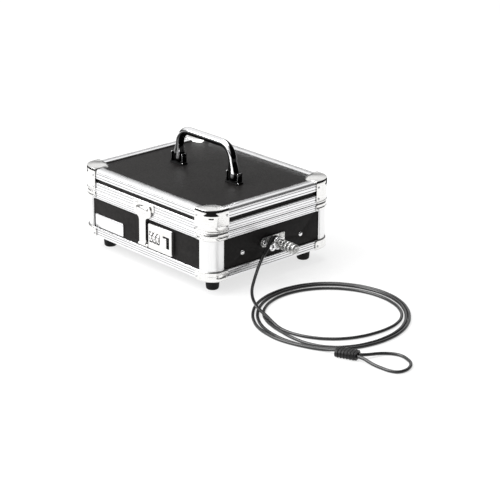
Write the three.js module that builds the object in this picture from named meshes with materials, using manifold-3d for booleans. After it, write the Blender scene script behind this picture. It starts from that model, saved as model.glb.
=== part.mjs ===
// An aluminium-framed cash box with a combination lock, a bail handle and a coiled security cable.
// Millimetres, +Z up. The origin is the middle of the footprint, on the surface the box stands on.
// The lock side faces -Y, the lid hinges on the +Y side, and the cable locks into the +X side.
import * as THREE from "three";
import { mergeVertices } from "three/addons/utils/BufferGeometryUtils.js";
import Module from "manifold-3d";

const wasm = await Module();
wasm.setup();

// ---------- Driving dimensions ----------

const GAP = 0.3; // air between neighbouring pieces

// The case
const CASE_W = 254; // outside the aluminium extrusions, along X
const CASE_D = 208; // the same, along Y
const CASE_R = 20; // plan radius of every outer corner
const FOOT_H = 19;
const EDGE_H = 13; // bottom edge extrusion
const WALL_H = 40; // black wall that shows between the extrusions
const BASE_RIM_H = 10;
const LID_RIM_H = 12;
const STRIP_H = 5; // black strip of the lid's side
const LID_EDGE_H = 12.5;
const SKIN = 1.7; // wall of an extrusion
const WALL_INSET = 2; // the panels' outer face sits this far inside the extrusions
const WALL_T = 6;
const LID_WALL_T = 5;
const CHANNEL_INNER = 9.3; // inner face of the rim channels, from the case's outer face
const LEAF_W = 12.8; // top leaf of the lid's edge extrusion
const POST_LEAF = 22.5; // how far a corner post reaches along each wall
const POST_INSET = 0.4; // the posts' faces sit this far inside the guards
const LID_WEB_H = 2.85; // the lid rim's web, which the lid's side stands on

// Levels, from the feet up
const Z_EDGE = FOOT_H;
const Z_WALL = Z_EDGE + EDGE_H;
const Z_RIM = Z_WALL + WALL_H;
const Z_SEAM = Z_RIM + BASE_RIM_H;
const Z_STRIP = Z_SEAM + LID_RIM_H;
const Z_LID_EDGE = Z_STRIP + STRIP_H;
const Z_TOP = Z_LID_EDGE + LID_EDGE_H;
const Z_FLOOR = Z_EDGE + SKIN + GAP; // underside of the floor panel
const Z_PANEL = Z_TOP - SKIN - GAP; // top of the lid panel

// Corner guards
const GUARD_REACH = 29; // each of a guard's three legs
const GUARD_T = 1;
const GUARD_TIP_R = 14;
const BOTTOM_LEAF_REACH = 15;

// The blank plate at the front's lower left
const LABEL = { x0: -101, x1: -44, z0: 33.5, z1: 51, t: 1, cornerR: 1.5 };

// Feet
const FOOT_INSET = 25.3;
const FOOT_R = 9.4;

// Front lock
const PLATE_Y = -CASE_D / 2 + WALL_INSET - GAP; // what is screwed to the front wall starts here
const LOCK = { x0: 12, x1: 57, z0: 36, z1: 69, face: -107.5, skin: 1.8, cornerR: 2 };
const LOCK_CASE = { x0: 12.4, x1: 54.6, z0: 40.3, z1: 64.7, back: -90, wall: 1.6 };
const LOCK_FLANGE_H = 2.1; // top and bottom walls of the lock case
const DIAL_COUNT = 3;
const DIAL_R = 8;
const DIAL_W = 5;
const DIAL_PITCH = 6.8;
const DIAL_X0 = 16.8; // middle of the first dial
const DIAL_Y = -101.3;
const DIAL_Z = 52;
const DIAL_WINDOW = 14.6; // height of the slot that each dial shows through
const DIAL_NOTCHES = 10;
const SPINDLE_R = 1.5;
const SPINDLE_END = 1.4; // how far the spindle passes the last dial
const BUTTON = { x0: 40.6, x1: 48, z0: 44.7, z1: 57.3, proud: 1.3, travel: 4 };
const BUTTON_PLAY = 0.4; // round the thumb slide in its window
const BUTTON_FLANGE = { right: 0.8, left: 2.1, below: 1.6, above: 3.4, t: 1.2 }; // behind the window
const BUTTON_TAB = { t: 1.4, halfH: 4, depth: 8 }; // where the spring presses
const SPRING = { turns: 5, radius: 2.3, wireR: 0.4, y: -100 };

// Hasp
const FRONT_PROUD = 5.6; // the hasp and the hinge both stand this far out of the case
const HASP_W = 12.6; // its arm
const HASP_HEAD_W = 33;
const HASP_HEAD_Z = 75; // underside of the head
const HASP_Z = 37; // its pivot
const HASP_Y = -105.3;
const HASP_TOP = 92;
const HASP_FACE = -107.5;
const HASP_T = 1.6;
const HASP_PIN_R = 1;
const HASP_KNUCKLE_R = 2.2;
const HASP_EARS = { inner: 5.6, outer: 8.8 }; // the bracket's ears, from the hasp's middle
const HASP_BOSS = { halfW: 11, halfH: 4.8, z: 84 };
const CATCH = { halfW: 20, t: 1, cornerR: 1.5 };

// Lid hinge
const HINGE_R = 2.8;
const HINGE_L = 150;
const HINGE_KNUCKLES = 5;
const HINGE_PIN_R = 1.2;
const HINGE_Y = CASE_D / 2 + FRONT_PROUD - HINGE_R;

// Handle
const HANDLE_SPAN = 108; // between its legs
const HANDLE_BAR_R = 5.4;
const HANDLE_BEND_R = 20;
const HANDLE_TOP = 163;
const LUG_R = 7.5;
const LUG_W = 14.4;
const HANDLE_PIN_R = 2;
const BRACKET = { halfW: 12.4, halfD: 9, cornerR: 4, t: 1.6, cheekT: 2.4, cheekR: 6.2, play: 0.4 };
const HANDLE_Z = Z_PANEL + GAP + BRACKET.t + BRACKET.play + LUG_R;

// Cable lock on the right side
const CABLE_LOCK_Z = 51;
const ANCHOR = { y0: -20, y1: 21, z0: 45.6, z1: 58.4, t: 1.5, cornerR: 1.5 };
const ANCHOR_BAR = { halfW: 57, z0: 41, z1: 57.5, t: 1.2 }; // the one inside the wall
const ANCHOR_SLOT = { halfW: 1.9, halfH: 3.9 };
const ANCHOR_RIVET = { y: 50, z: 47.6, shankR: 2, headR: 3, headH: 1.6 };
const TONGUE = { tip: 113.4, start: 115.6, halfT: 1.5, halfH: 3.5 };
const HEAD = { start: 127.2, neck: 129.7, body: 139.2, wheels: 143.6, cap: 162.3, end: 170.4 };
const HEAD_R = 6.4;
const HEAD_NECK_R = 5;
const HEAD_CORE_R = 4; // the spindle that the number wheels turn on
const WHEEL = { count: 3, width: 5.8, pitch: 6.1, start: 0.35, lowR: 6.1, highR: 6.7, ridges: 20 };
const SWIVEL = { x0: 130, x1: 138.8, inner: 5.3, outer: 8.5 };
const BOOT = { start: [134.3, -4.9, 60], end: [134.3, -22, 40], startR: 3.5, endR: 2.9 };
const CABLE_R = 2;
const CABLE_SIDES = 8;
const COIL = { x: 262, y: -33, inner: 70, outer: 104, height: 4.4 };
const SLEEVE = { x: 361, y: -102.8, z: 5, length: 26, width: 16.4, height: 9.8, bores: 3.4, turn: 0.4 };

// The cable's run from the swivel's boot down to the coil, chosen by hand
const DROP_POINTS = [
  [134.3, -22.6, 39.2],
  [135.2, -27, 34.4],
  [138.2, -34, 28.9],
  [144, -43.8, 23],
  [151.4, -54.6, 17.6],
  [159, -64.3, 13.6],
  [168, -72.8, 10.6],
  [179.2, -80.8, 8.6],
  [192, -87.8, 7.4],
  [204, -93.2, 6.9],
  [216, -97.3, 6.8],
];

// From the coil through the crimp sleeve, round the eye and back into the sleeve
const EYE_POINTS = [
  [337, -109, 3.4],
  [341, -107.5, 4.3],
  [345, -105.9, 4.9],
  [349.5, -103.9, 5],
  [359.7, -99.7, 5],
  [369.8, -95.4, 5],
  [373.5, -93.7, 5],
  [376.6, -89.6, 4.7],
  [379, -82.4, 3.9],
  [381.6, -73.6, 3],
  [386.2, -64.9, 2.2],
  [393.1, -59.1, 2.1],
  [401.5, -56.4, 2.1],
  [412.5, -58.2, 2.1],
  [423.4, -63.7, 2.1],
  [430.2, -73.2, 2.1],
  [432.4, -83, 2.1],
  [429.9, -91.8, 2.1],
  [423.2, -96.1, 2.1],
  [412.2, -97.8, 2.1],
  [400.2, -98.4, 2.3],
  [390.5, -98.6, 3.4],
  [383.6, -98.8, 4.5],
  [376, -100.2, 5],
  [372.4, -101.7, 5],
  [366, -104.4, 5],
];

// ---------- Materials ----------

function finish(color, roughness, metalness) {
  return new THREE.MeshStandardMaterial({ color, roughness, metalness });
}

const ALUMINIUM = finish(0xd4d6d8, 0.34, 1);
const NICKEL = finish(0xdcdcd8, 0.14, 1);
const CHROME = finish(0xe6e6e8, 0.06, 1);
const STEEL = finish(0x9c9da0, 0.35, 1);
const BLACK_LAMINATE = finish(0x2b2928, 0.55, 0);
const BLACK_PLASTIC = finish(0x161616, 0.45, 0);
const RUBBER = finish(0x101010, 0.85, 0);
const CABLE_COAT = finish(0x2a2a2a, 0.35, 0);

// ---------- Geometry helpers ----------

function solidFrom(geometry) {
  const bare = new THREE.BufferGeometry().setAttribute("position", geometry.getAttribute("position"));
  bare.setIndex(geometry.getIndex());
  const merged = mergeVertices(bare, 1e-4);
  return new wasm.Manifold(
    new wasm.Mesh({
      numProp: 3,
      vertProperties: merged.getAttribute("position").array,
      triVerts: new Uint32Array(merged.getIndex().array),
    }),
  );
}

function geometryFrom(solid) {
  const mesh = solid.getMesh();
  return new THREE.BufferGeometry()
    .setAttribute("position", new THREE.BufferAttribute(mesh.vertProperties, 3))
    .setIndex(new THREE.BufferAttribute(mesh.triVerts, 1));
}

// Several closed geometries as one.
function join(...pieces) {
  return geometryFrom(pieces.map(solidFrom).reduce((a, b) => a.add(b)));
}

// One geometry with others taken out of it.
function cut(body, ...tools) {
  return geometryFrom(tools.map(solidFrom).reduce((a, b) => a.subtract(b), solidFrom(body)));
}

// What two geometries share.
function overlap(a, b) {
  return geometryFrom(solidFrom(a).intersect(solidFrom(b)));
}

// A block between two corners.
function block(low, high) {
  const size = high.map((value, i) => value - low[i]);
  return new THREE.BoxGeometry(...size).translate(...low.map((value, i) => value + size[i] / 2));
}

// A plan outline raised from z0 to z1.
function prism(outline, z0, z1, curveSegments = 3) {
  const options = { depth: z1 - z0, bevelEnabled: false, curveSegments };
  return new THREE.ExtrudeGeometry(outline, options).translate(0, 0, z0);
}

// An outline drawn in (y, z), given its thickness along X.
function slabX(outline, x0, x1, curveSegments = 5) {
  return prism(outline, 0, x1 - x0, curveSegments)
    .rotateY(Math.PI / 2)
    .rotateX(Math.PI / 2)
    .translate(x0, 0, 0);
}

// An outline drawn in (x, z), given its thickness towards +Y from y0.
function slabY(outline, y0, y1, curveSegments = 2) {
  return prism(outline, 0, y1 - y0, curveSegments).rotateX(Math.PI / 2).translate(0, y1, 0);
}

// A round bar along X.
function barX(radius, x0, x1, y, z, sides = 24) {
  return new THREE.CylinderGeometry(radius, radius, x1 - x0, sides)
    .rotateZ(Math.PI / 2)
    .translate((x0 + x1) / 2, y, z);
}

// A body turned about the X direction through (y, z); each profile point is [x, radius].
function turnedX(profile, y, z, sides = 20) {
  const points = profile.map(([x, radius]) => new THREE.Vector2(radius, x));
  return new THREE.LatheGeometry(points, sides).rotateZ(-Math.PI / 2).translate(0, y, z);
}

// A body turned about the Z direction; each profile point is [radius, z].
function turnedZ(profile, sides = 16) {
  const points = profile.map(([radius, z]) => new THREE.Vector2(radius, z));
  return new THREE.LatheGeometry(points, sides).rotateX(Math.PI / 2);
}

function roundedRectangle(x0, x1, y0, y1, radius) {
  const shape = new THREE.Shape();
  shape.moveTo(x0 + radius, y0);
  shape.lineTo(x1 - radius, y0);
  shape.absarc(x1 - radius, y0 + radius, radius, -Math.PI / 2, 0);
  shape.lineTo(x1, y1 - radius);
  shape.absarc(x1 - radius, y1 - radius, radius, 0, Math.PI / 2);
  shape.lineTo(x0 + radius, y1);
  shape.absarc(x0 + radius, y1 - radius, radius, Math.PI / 2, Math.PI);
  shape.lineTo(x0, y0 + radius);
  shape.absarc(x0 + radius, y0 + radius, radius, Math.PI, 1.5 * Math.PI);
  return shape;
}

// The case's plan, moved in by an inset.
function casePlan(inset) {
  const halfW = CASE_W / 2 - inset;
  const halfD = CASE_D / 2 - inset;
  return roundedRectangle(-halfW, halfW, -halfD, halfD, CASE_R - inset);
}

// A section carried all the way round the case. Each of its points is [inset from the outer face, z],
// in order up the outside and down the inside.
function caseFrame(section, cornerSteps = 5) {
  const stations = [];
  for (let corner = 0; corner < 4; corner++) {
    for (let step = 0; step <= cornerSteps; step++) {
      const angle = (corner + step / cornerSteps) * (Math.PI / 2);
      const middle = (corner + 0.5) * (Math.PI / 2);
      stations.push({
        x: Math.sign(Math.cos(middle)) * (CASE_W / 2 - CASE_R),
        y: Math.sign(Math.sin(middle)) * (CASE_D / 2 - CASE_R),
        outX: Math.cos(angle),
        outY: Math.sin(angle),
      });
    }
  }
  const positions = stations.flatMap(({ x, y, outX, outY }) =>
    section.flatMap(([inset, z]) => [x + (CASE_R - inset) * outX, y + (CASE_R - inset) * outY, z]),
  );
  const index = [];
  const count = section.length;
  for (let i = 0; i < stations.length; i++) {
    const next = (i + 1) % stations.length;
    for (let j = 0; j < count; j++) {
      const k = (j + 1) % count;
      const [a, b, c, d] = [i * count + j, next * count + j, next * count + k, i * count + k];
      index.push(a, b, c, a, c, d);
    }
  }
  return new THREE.BufferGeometry()
    .setAttribute("position", new THREE.Float32BufferAttribute(positions, 3))
    .setIndex(index);
}

// A round tube along a smooth line through the points.
function cableAlong(points, step) {
  const line = new THREE.CatmullRomCurve3(points.map((point) => new THREE.Vector3(...point)));
  const section = new THREE.Shape().absarc(0, 0, CABLE_R, 0, 2 * Math.PI);
  const steps = Math.round(line.getLength() / step);
  return new THREE.ExtrudeGeometry(section, { steps, extrudePath: line, curveSegments: CABLE_SIDES / 2 });
}

// ---------- Assembly helpers ----------

const cashBox = new THREE.Group();

function add(name, geometry, material, group = cashBox) {
  const mesh = new THREE.Mesh(geometry, material);
  mesh.name = name;
  group.add(mesh);
  return mesh;
}

// The four corners, each drawn in the +X +Y quarter and mirrored into its own.
const CORNERS = [
  ["front_left", -1, -1],
  ["front_right", 1, -1],
  ["rear_left", -1, 1],
  ["rear_right", 1, 1],
];

function addAtCorners(prefix, geometry, material, group = cashBox) {
  for (const [place, sideX, sideY] of CORNERS) {
    add(`${prefix}_${place}`, geometry, material, group).scale.set(sideX, sideY, 1);
  }
}

// ---------- The base shell ----------

function floorPanel() {
  return prism(casePlan(WALL_INSET), Z_FLOOR, Z_FLOOR + WALL_T);
}

// A channel round the bottom: an outer skin with a flange under the floor panel.
function bottomEdge() {
  const round = 2.5;
  return caseFrame([
    [round, Z_EDGE],
    [0.7, Z_EDGE + 0.7],
    [0, Z_EDGE + round],
    [0, Z_WALL - 1],
    [0.6, Z_WALL],
    [SKIN, Z_WALL],
    [SKIN, Z_EDGE + SKIN],
    [LEAF_W, Z_EDGE + SKIN],
    [LEAF_W, Z_EDGE],
  ]);
}

const WALL_BOTTOM = Z_FLOOR + WALL_T + GAP;
const WALL_TOP = Z_SEAM - GAP - 3;
const WALL_OUT_X = CASE_W / 2 - WALL_INSET;
const WALL_OUT_Y = CASE_D / 2 - WALL_INSET;
const STRAIGHT_X = CASE_W / 2 - CASE_R - 2 * GAP; // half length of the front wall
const STRAIGHT_Y = CASE_D / 2 - CASE_R - 2 * GAP; // half length of a side wall

function longWall(side) {
  const faces = [side * WALL_OUT_Y, side * (WALL_OUT_Y - WALL_T)];
  const low = [-STRAIGHT_X, Math.min(...faces), WALL_BOTTOM];
  return block(low, [STRAIGHT_X, Math.max(...faces), WALL_TOP]);
}

function frontWall() {
  const { x0, x1, z0, z1 } = LOCK_CASE;
  const opening = block([x0 - GAP, -CASE_D, z0 - GAP], [x1 + GAP, 0, z1 + GAP]);
  return cut(longWall(-1), opening);
}

function sideWall(side) {
  const faces = [side * WALL_OUT_X, side * (WALL_OUT_X - WALL_T)];
  const low = [Math.min(...faces), -STRAIGHT_Y, WALL_BOTTOM];
  return block(low, [Math.max(...faces), STRAIGHT_Y, WALL_TOP]);
}

function rightWall() {
  const rivetHole = (y) => barX(ANCHOR_RIVET.shankR + GAP, 0, CASE_W, y, ANCHOR_RIVET.z, 12);
  return cut(sideWall(1), rivetHole(-ANCHOR_RIVET.y), rivetHole(ANCHOR_RIVET.y), anchorSlot());
}

// The slot for the cable lock's tongue, right through the wall and the plates on it.
function anchorSlot() {
  const { halfW, halfH } = ANCHOR_SLOT;
  return block([0, -halfW, CABLE_LOCK_Z - halfH], [CASE_W, halfW, CABLE_LOCK_Z + halfH]);
}

// A corner post: a rounded skin with a leaf over each wall, and a solid inner angle between the walls.
function cornerPost() {
  const face = { x: CASE_W / 2 - POST_INSET, y: CASE_D / 2 - POST_INSET };
  const centre = { x: CASE_W / 2 - CASE_R, y: CASE_D / 2 - CASE_R };
  const skin = { x: WALL_OUT_X + GAP, y: WALL_OUT_Y + GAP };
  const inner = { x: WALL_OUT_X - WALL_T, y: WALL_OUT_Y - WALL_T };
  const leafEnd = { x: CASE_W / 2 - POST_LEAF, y: CASE_D / 2 - POST_LEAF };
  const shape = new THREE.Shape();
  shape.moveTo(leafEnd.x, face.y);
  shape.lineTo(leafEnd.x, skin.y);
  shape.lineTo(centre.x - GAP, skin.y);
  shape.lineTo(centre.x - GAP, inner.y);
  shape.lineTo(inner.x, inner.y);
  shape.lineTo(inner.x, centre.y - GAP);
  shape.lineTo(skin.x, centre.y - GAP);
  shape.lineTo(skin.x, leafEnd.y);
  shape.lineTo(face.x, leafEnd.y);
  shape.lineTo(face.x, centre.y);
  shape.absarc(centre.x, centre.y, CASE_R - POST_INSET, 0, Math.PI / 2);
  return prism(shape, Z_WALL + GAP, Z_RIM - GAP);
}

// The base's half of the rim: a channel turned down over the tops of the walls.
function baseRim() {
  const top = Z_SEAM - GAP / 2;
  return caseFrame([
    [0.6, Z_RIM],
    [0, Z_RIM + 0.8],
    [0, top - 0.8],
    [0.6, top],
    [CHANNEL_INNER, top],
    [CHANNEL_INNER, Z_RIM + 1],
    [CHANNEL_INNER - 1, Z_RIM + 1],
    [CHANNEL_INNER - 1, WALL_TOP + GAP],
    [SKIN, WALL_TOP + GAP],
    [SKIN, Z_RIM],
  ]);
}

// A strip round the outside of one corner, GUARD_T thick.
function guardBand(z0, z1) {
  const centre = { x: CASE_W / 2 - CASE_R, y: CASE_D / 2 - CASE_R };
  const leg = { x: CASE_W / 2 - GUARD_REACH, y: CASE_D / 2 - GUARD_REACH };
  const innerR = CASE_R + GAP;
  const outerR = innerR + GUARD_T;
  const shape = new THREE.Shape();
  shape.moveTo(centre.x + outerR, leg.y);
  shape.lineTo(centre.x + outerR, centre.y);
  shape.absarc(centre.x, centre.y, outerR, 0, Math.PI / 2);
  shape.lineTo(leg.x, centre.y + outerR);
  shape.lineTo(leg.x, centre.y + innerR);
  shape.lineTo(centre.x, centre.y + innerR);
  shape.absarc(centre.x, centre.y, innerR, Math.PI / 2, 0, true);
  shape.lineTo(centre.x + innerR, leg.y);
  return prism(shape, z0, z1);
}

// The flat leaf of a corner guard, with a rounded tip towards the middle of the case.
function guardLeaf(z0, z1, reach, tipR) {
  const centre = { x: CASE_W / 2 - CASE_R, y: CASE_D / 2 - CASE_R };
  const leg = { x: CASE_W / 2 - reach, y: CASE_D / 2 - reach };
  const outerR = CASE_R + GAP + GUARD_T;
  const shape = new THREE.Shape();
  shape.moveTo(centre.x + outerR, Math.min(leg.y, centre.y));
  shape.lineTo(centre.x + outerR, centre.y);
  shape.absarc(centre.x, centre.y, outerR, 0, Math.PI / 2);
  shape.lineTo(leg.x, centre.y + outerR);
  shape.lineTo(leg.x, leg.y + tipR);
  shape.absarc(leg.x + tipR, leg.y + tipR, tipR, Math.PI, 1.5 * Math.PI);
  shape.lineTo(centre.x + outerR, leg.y);
  return prism(shape, z0, z1);
}

function bottomGuard() {
  const low = Z_EDGE - GAP - GUARD_T;
  const corner = prism(casePlan(-GAP - GUARD_T), low, Z_EDGE - GAP);
  const reachX = CASE_W / 2 - BOTTOM_LEAF_REACH;
  const reachY = CASE_D / 2 - BOTTOM_LEAF_REACH;
  const legX = CASE_W / 2 - GUARD_REACH;
  const legY = CASE_D / 2 - GUARD_REACH;
  const inside = block([0, 0, 0], [reachX, reachY, FOOT_H]);
  const left = block([-CASE_W, -CASE_D, 0], [legX, CASE_D, FOOT_H]);
  const near = block([-CASE_W, -CASE_D, 0], [CASE_W, legY, FOOT_H]);
  return join(guardBand(low, Z_WALL), cut(corner, inside, left, near));
}

const rimGuard = () => guardBand(Z_RIM + 0.5, Z_SEAM - GAP);

function lidGuard() {
  const top = Z_TOP + GAP;
  return join(
    guardBand(Z_SEAM + GAP, top + GUARD_T),
    guardLeaf(top, top + GUARD_T, GUARD_REACH, GUARD_TIP_R),
  );
}

function foot() {
  const x = CASE_W / 2 - FOOT_INSET;
  const y = CASE_D / 2 - FOOT_INSET;
  const top = Z_FLOOR - GAP;
  const profile = [
    [0, 0],
    [FOOT_R - 2.6, 0],
    [FOOT_R - 1.5, 0.9],
    [FOOT_R - 1, 2.4],
    [FOOT_R, top - 2],
    [FOOT_R, top],
    [0, top],
  ];
  return turnedZ(profile).translate(x, y, 0);
}

function labelPlate() {
  const { x0, x1, z0, z1, t, cornerR } = LABEL;
  return slabY(roundedRectangle(x0, x1, z0, z1, cornerR), PLATE_Y - t, PLATE_Y, 1);
}

// A one-piece tray that stands on the floor panel: coin pockets along the front, note bays behind.
const TRAY = { x: 112.6, y0: -88.2, y1: 93.4, wall: 2, z0: WALL_BOTTOM, z1: 66, divide: -26 };
const COIN_POCKETS = 5;
const NOTE_BAYS = 3;

function trayRow(count, y0, y1) {
  const pitch = (2 * TRAY.x - TRAY.wall) / count;
  return Array.from({ length: count }, (unused, i) => {
    const x0 = -TRAY.x + TRAY.wall + i * pitch;
    return block([x0, y0, TRAY.z0 + TRAY.wall], [x0 + pitch - TRAY.wall, y1, TRAY.z1 + 1]);
  });
}

function coinTray() {
  const { x, y0, y1, wall, z0, z1, divide } = TRAY;
  const coins = trayRow(COIN_POCKETS, y0 + wall, divide);
  const notes = trayRow(NOTE_BAYS, divide + wall, y1 - wall);
  return cut(block([-x, y0, z0], [x, y1, z1]), ...coins, ...notes);
}

// ---------- The front lock ----------

const dialMiddles = () => Array.from({ length: DIAL_COUNT }, (unused, i) => DIAL_X0 + i * DIAL_PITCH);
const DIALS_END = DIAL_X0 + (DIAL_COUNT - 1) * DIAL_PITCH + DIAL_W / 2;
const LOCK_SPLIT = { x0: DIALS_END + 0.4, x1: DIALS_END + 2.4 }; // the wall between dials and slide
const WINDOW_ABOVE = 2.2; // the slide's window is open this far above it

// The slot in the lock's face that one dial shows through.
function dialWindow(middle) {
  const { face, skin } = LOCK;
  const half = { x: DIAL_W / 2 + GAP, z: DIAL_WINDOW / 2 };
  const low = [middle - half.x, face - 1, DIAL_Z - half.z];
  return block(low, [middle + half.x, face + skin + 1, DIAL_Z + half.z]);
}

function lockBody() {
  const { x0, x1, z0, z1, face, skin, cornerR } = LOCK;
  const inner = LOCK_CASE;
  const [low, high] = [inner.z0 + LOCK_FLANGE_H, inner.z1 - LOCK_FLANGE_H];
  const front = slabY(roundedRectangle(x0, x1, z0, z1, cornerR), face, PLATE_Y);
  const rear = block([inner.x0, PLATE_Y - 1, inner.z0], [inner.x1, inner.back, inner.z1]);
  const cavity = (from, to) => block([from, face + skin, low], [to, inner.back + 1, high]);
  const dialCavity = cavity(inner.x0 + inner.wall, LOCK_SPLIT.x0);
  const slideCavity = cavity(LOCK_SPLIT.x1, inner.x1 - inner.wall);
  const buttonWindow = block(
    [BUTTON.x0 - BUTTON_PLAY, face - 1, BUTTON.z0 - BUTTON_PLAY],
    [BUTTON.x1 + BUTTON.travel + BUTTON_PLAY, face + skin + 1, BUTTON.z1 + WINDOW_ABOVE],
  );
  const spindleHole = barX(SPINDLE_R + GAP, inner.x0 - 1, DIALS_END + SPINDLE_END + GAP, DIAL_Y, DIAL_Z, 12);
  const windows = dialMiddles().map(dialWindow);
  const shell = cut(join(front, rear), dialCavity, slideCavity, buttonWindow, ...windows, spindleHole);
  return join(shell, haspBracket());
}

// The lock body's foot under the hasp: a strip on the wall with two ears for the hasp's pin.
function haspBracket() {
  const { inner, outer } = HASP_EARS;
  const [below, above, thickness] = [3.5, 3, 0.7];
  const strip = block([-outer, PLATE_Y - thickness, HASP_Z - below], [LOCK.x0 + 2, PLATE_Y, HASP_Z + above]);
  const ear = (x) => {
    const low = [x, HASP_Y, HASP_Z - HASP_KNUCKLE_R];
    const tab = block(low, [x + outer - inner, PLATE_Y, HASP_Z + HASP_KNUCKLE_R]);
    return join(tab, barX(HASP_KNUCKLE_R, x, x + outer - inner, HASP_Y, HASP_Z, 20));
  };
  const bore = barX(HASP_PIN_R + GAP, -outer - 1, LOCK.x0 - 1, HASP_Y, HASP_Z, 16);
  return cut(join(strip, ear(-outer), ear(inner)), bore);
}

// A number dial, with a notch between each pair of numbers.
function dial(middle) {
  const [x0, x1] = [middle - DIAL_W / 2, middle + DIAL_W / 2];
  const pitch = (2 * Math.PI) / DIAL_NOTCHES;
  const raised = 0.62 * pitch; // the rest of each pitch is the notch
  const depth = 0.5;
  const outline = new THREE.Shape();
  for (let i = 0; i < DIAL_NOTCHES; i++) {
    outline.absarc(DIAL_Y, DIAL_Z, DIAL_R, i * pitch, i * pitch + raised);
    outline.absarc(DIAL_Y, DIAL_Z, DIAL_R - depth, i * pitch + raised, (i + 1) * pitch);
  }
  return cut(slabX(outline, x0, x1, 1), barX(SPINDLE_R + GAP, x0 - 1, x1 + 1, DIAL_Y, DIAL_Z, 12));
}

function dialSpindle() {
  return barX(SPINDLE_R, LOCK_CASE.x0 + 0.4, DIALS_END + SPINDLE_END, DIAL_Y, DIAL_Z, 12);
}

// The thumb slide: a pad in the window, a flange behind the window and a tab for its spring.
function slideButton() {
  const { x0, x1, z0, z1, proud } = BUTTON;
  const { right, left, below, above, t } = BUTTON_FLANGE;
  const back = LOCK.face + LOCK.skin + GAP;
  const pad = slabY(roundedRectangle(x0, x1, z0, z1, 1), LOCK.face - proud, back + t / 2, 1);
  const flange = block([x0 - left, back, z0 - below], [x1 + right, back + t, z1 + above]);
  const tabLow = [x0 - left, back, DIAL_Z - BUTTON_TAB.halfH];
  const tabHigh = [tabLow[0] + BUTTON_TAB.t, back + BUTTON_TAB.depth, DIAL_Z + BUTTON_TAB.halfH];
  return join(pad, flange, block(tabLow, tabHigh));
}

// A compression spring along X, from the slide's tab to the wall of the lock case.
function buttonSpring() {
  const [x0, x1] = [BUTTON.x0 + 0.2, LOCK_CASE.x1 - LOCK_CASE.wall - 1];
  const coils = new (class extends THREE.Curve {
    getPoint(t, target = new THREE.Vector3()) {
      const angle = 2 * Math.PI * SPRING.turns * t;
      const [across, up] = [SPRING.radius * Math.cos(angle), SPRING.radius * Math.sin(angle)];
      return target.set(x0 + (x1 - x0) * t, SPRING.y + across, DIAL_Z + up);
    }
  })();
  const wire = new THREE.Shape().absarc(0, 0, SPRING.wireR, 0, 2 * Math.PI);
  const options = { steps: SPRING.turns * 8, extrudePath: coils, curveSegments: 2 };
  return new THREE.ExtrudeGeometry(wire, options);
}

// The hasp: an arm up from the pin, widening into a head with an oval boss over the lid's catch.
function hasp() {
  const half = HASP_W / 2;
  const headHalf = HASP_HEAD_W / 2;
  const headMiddle = (HASP_HEAD_Z + HASP_TOP) / 2;
  const neck = HASP_EARS.inner - 0.4;
  const shoulder = HASP_Z + 3;
  const [flare, corner] = [6, 4];
  const shape = new THREE.Shape();
  shape.moveTo(-half, shoulder);
  shape.lineTo(-neck, shoulder);
  shape.lineTo(-neck, HASP_Z);
  shape.lineTo(neck, HASP_Z);
  shape.lineTo(neck, shoulder);
  shape.lineTo(half, shoulder);
  shape.lineTo(half, HASP_HEAD_Z - flare);
  shape.quadraticCurveTo(half, HASP_HEAD_Z - 1, headHalf - corner, HASP_HEAD_Z);
  shape.quadraticCurveTo(headHalf, HASP_HEAD_Z + 1, headHalf, headMiddle);
  shape.quadraticCurveTo(headHalf, HASP_TOP - 1, headHalf - flare, HASP_TOP);
  shape.lineTo(-headHalf + flare, HASP_TOP);
  shape.quadraticCurveTo(-headHalf, HASP_TOP - 1, -headHalf, headMiddle);
  shape.quadraticCurveTo(-headHalf, HASP_HEAD_Z + 1, -headHalf + corner, HASP_HEAD_Z);
  shape.quadraticCurveTo(-half, HASP_HEAD_Z - 1, -half, HASP_HEAD_Z - flare);
  const plate = slabY(shape, HASP_FACE, HASP_FACE + HASP_T, 4);
  const knuckle = barX(HASP_KNUCKLE_R, -neck, neck, HASP_Y, HASP_Z, 20);
  const bore = barX(HASP_PIN_R + GAP, -half - 1, half + 1, HASP_Y, HASP_Z, 16);
  return cut(join(plate, haspBoss(), knuckle), bore);
}

// The part of an ellipsoid that stands out of the hasp's face.
function haspBoss() {
  const { halfW, halfH, z } = HASP_BOSS;
  const depth = CASE_D / 2 + FRONT_PROUD + HASP_FACE;
  const whole = new THREE.SphereGeometry(1, 16, 10).scale(halfW, depth, halfH).translate(0, HASP_FACE, z);
  const front = block([-halfW, HASP_FACE - depth, z - halfH], [halfW, HASP_FACE + HASP_T / 2, z + halfH]);
  return overlap(whole, front);
}

const haspPin = () => barX(HASP_PIN_R, -HASP_EARS.outer, HASP_EARS.outer, HASP_Y, HASP_Z, 16);

// The catch on the lid's rim, behind the hasp's head.
function catchPlate() {
  const back = -CASE_D / 2 - GAP;
  const { halfW, t, cornerR } = CATCH;
  const outline = roundedRectangle(-halfW, halfW, Z_SEAM + 1, Z_STRIP - 0.6, cornerR);
  return slabY(outline, back - t, back, 1);
}

// ---------- The lid ----------

function lidRim() {
  const bottom = Z_SEAM + GAP / 2;
  const web = bottom + LID_WEB_H;
  return caseFrame([
    [CHANNEL_INNER, bottom],
    [0.6, bottom],
    [0, bottom + 0.8],
    [0, Z_STRIP - 0.8],
    [0.6, Z_STRIP],
    [SKIN, Z_STRIP],
    [SKIN, web],
    [CHANNEL_INNER - 1, web],
    [CHANNEL_INNER - 1, Z_STRIP - 1],
    [CHANNEL_INNER, Z_STRIP - 1],
  ]);
}

function lidSide() {
  const bottom = Z_SEAM + GAP / 2 + LID_WEB_H + GAP;
  const top = Z_PANEL - LID_WALL_T - GAP;
  return caseFrame([
    [WALL_INSET, bottom],
    [WALL_INSET, top],
    [WALL_INSET + LID_WALL_T, top],
    [WALL_INSET + LID_WALL_T, bottom],
  ]);
}

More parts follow.
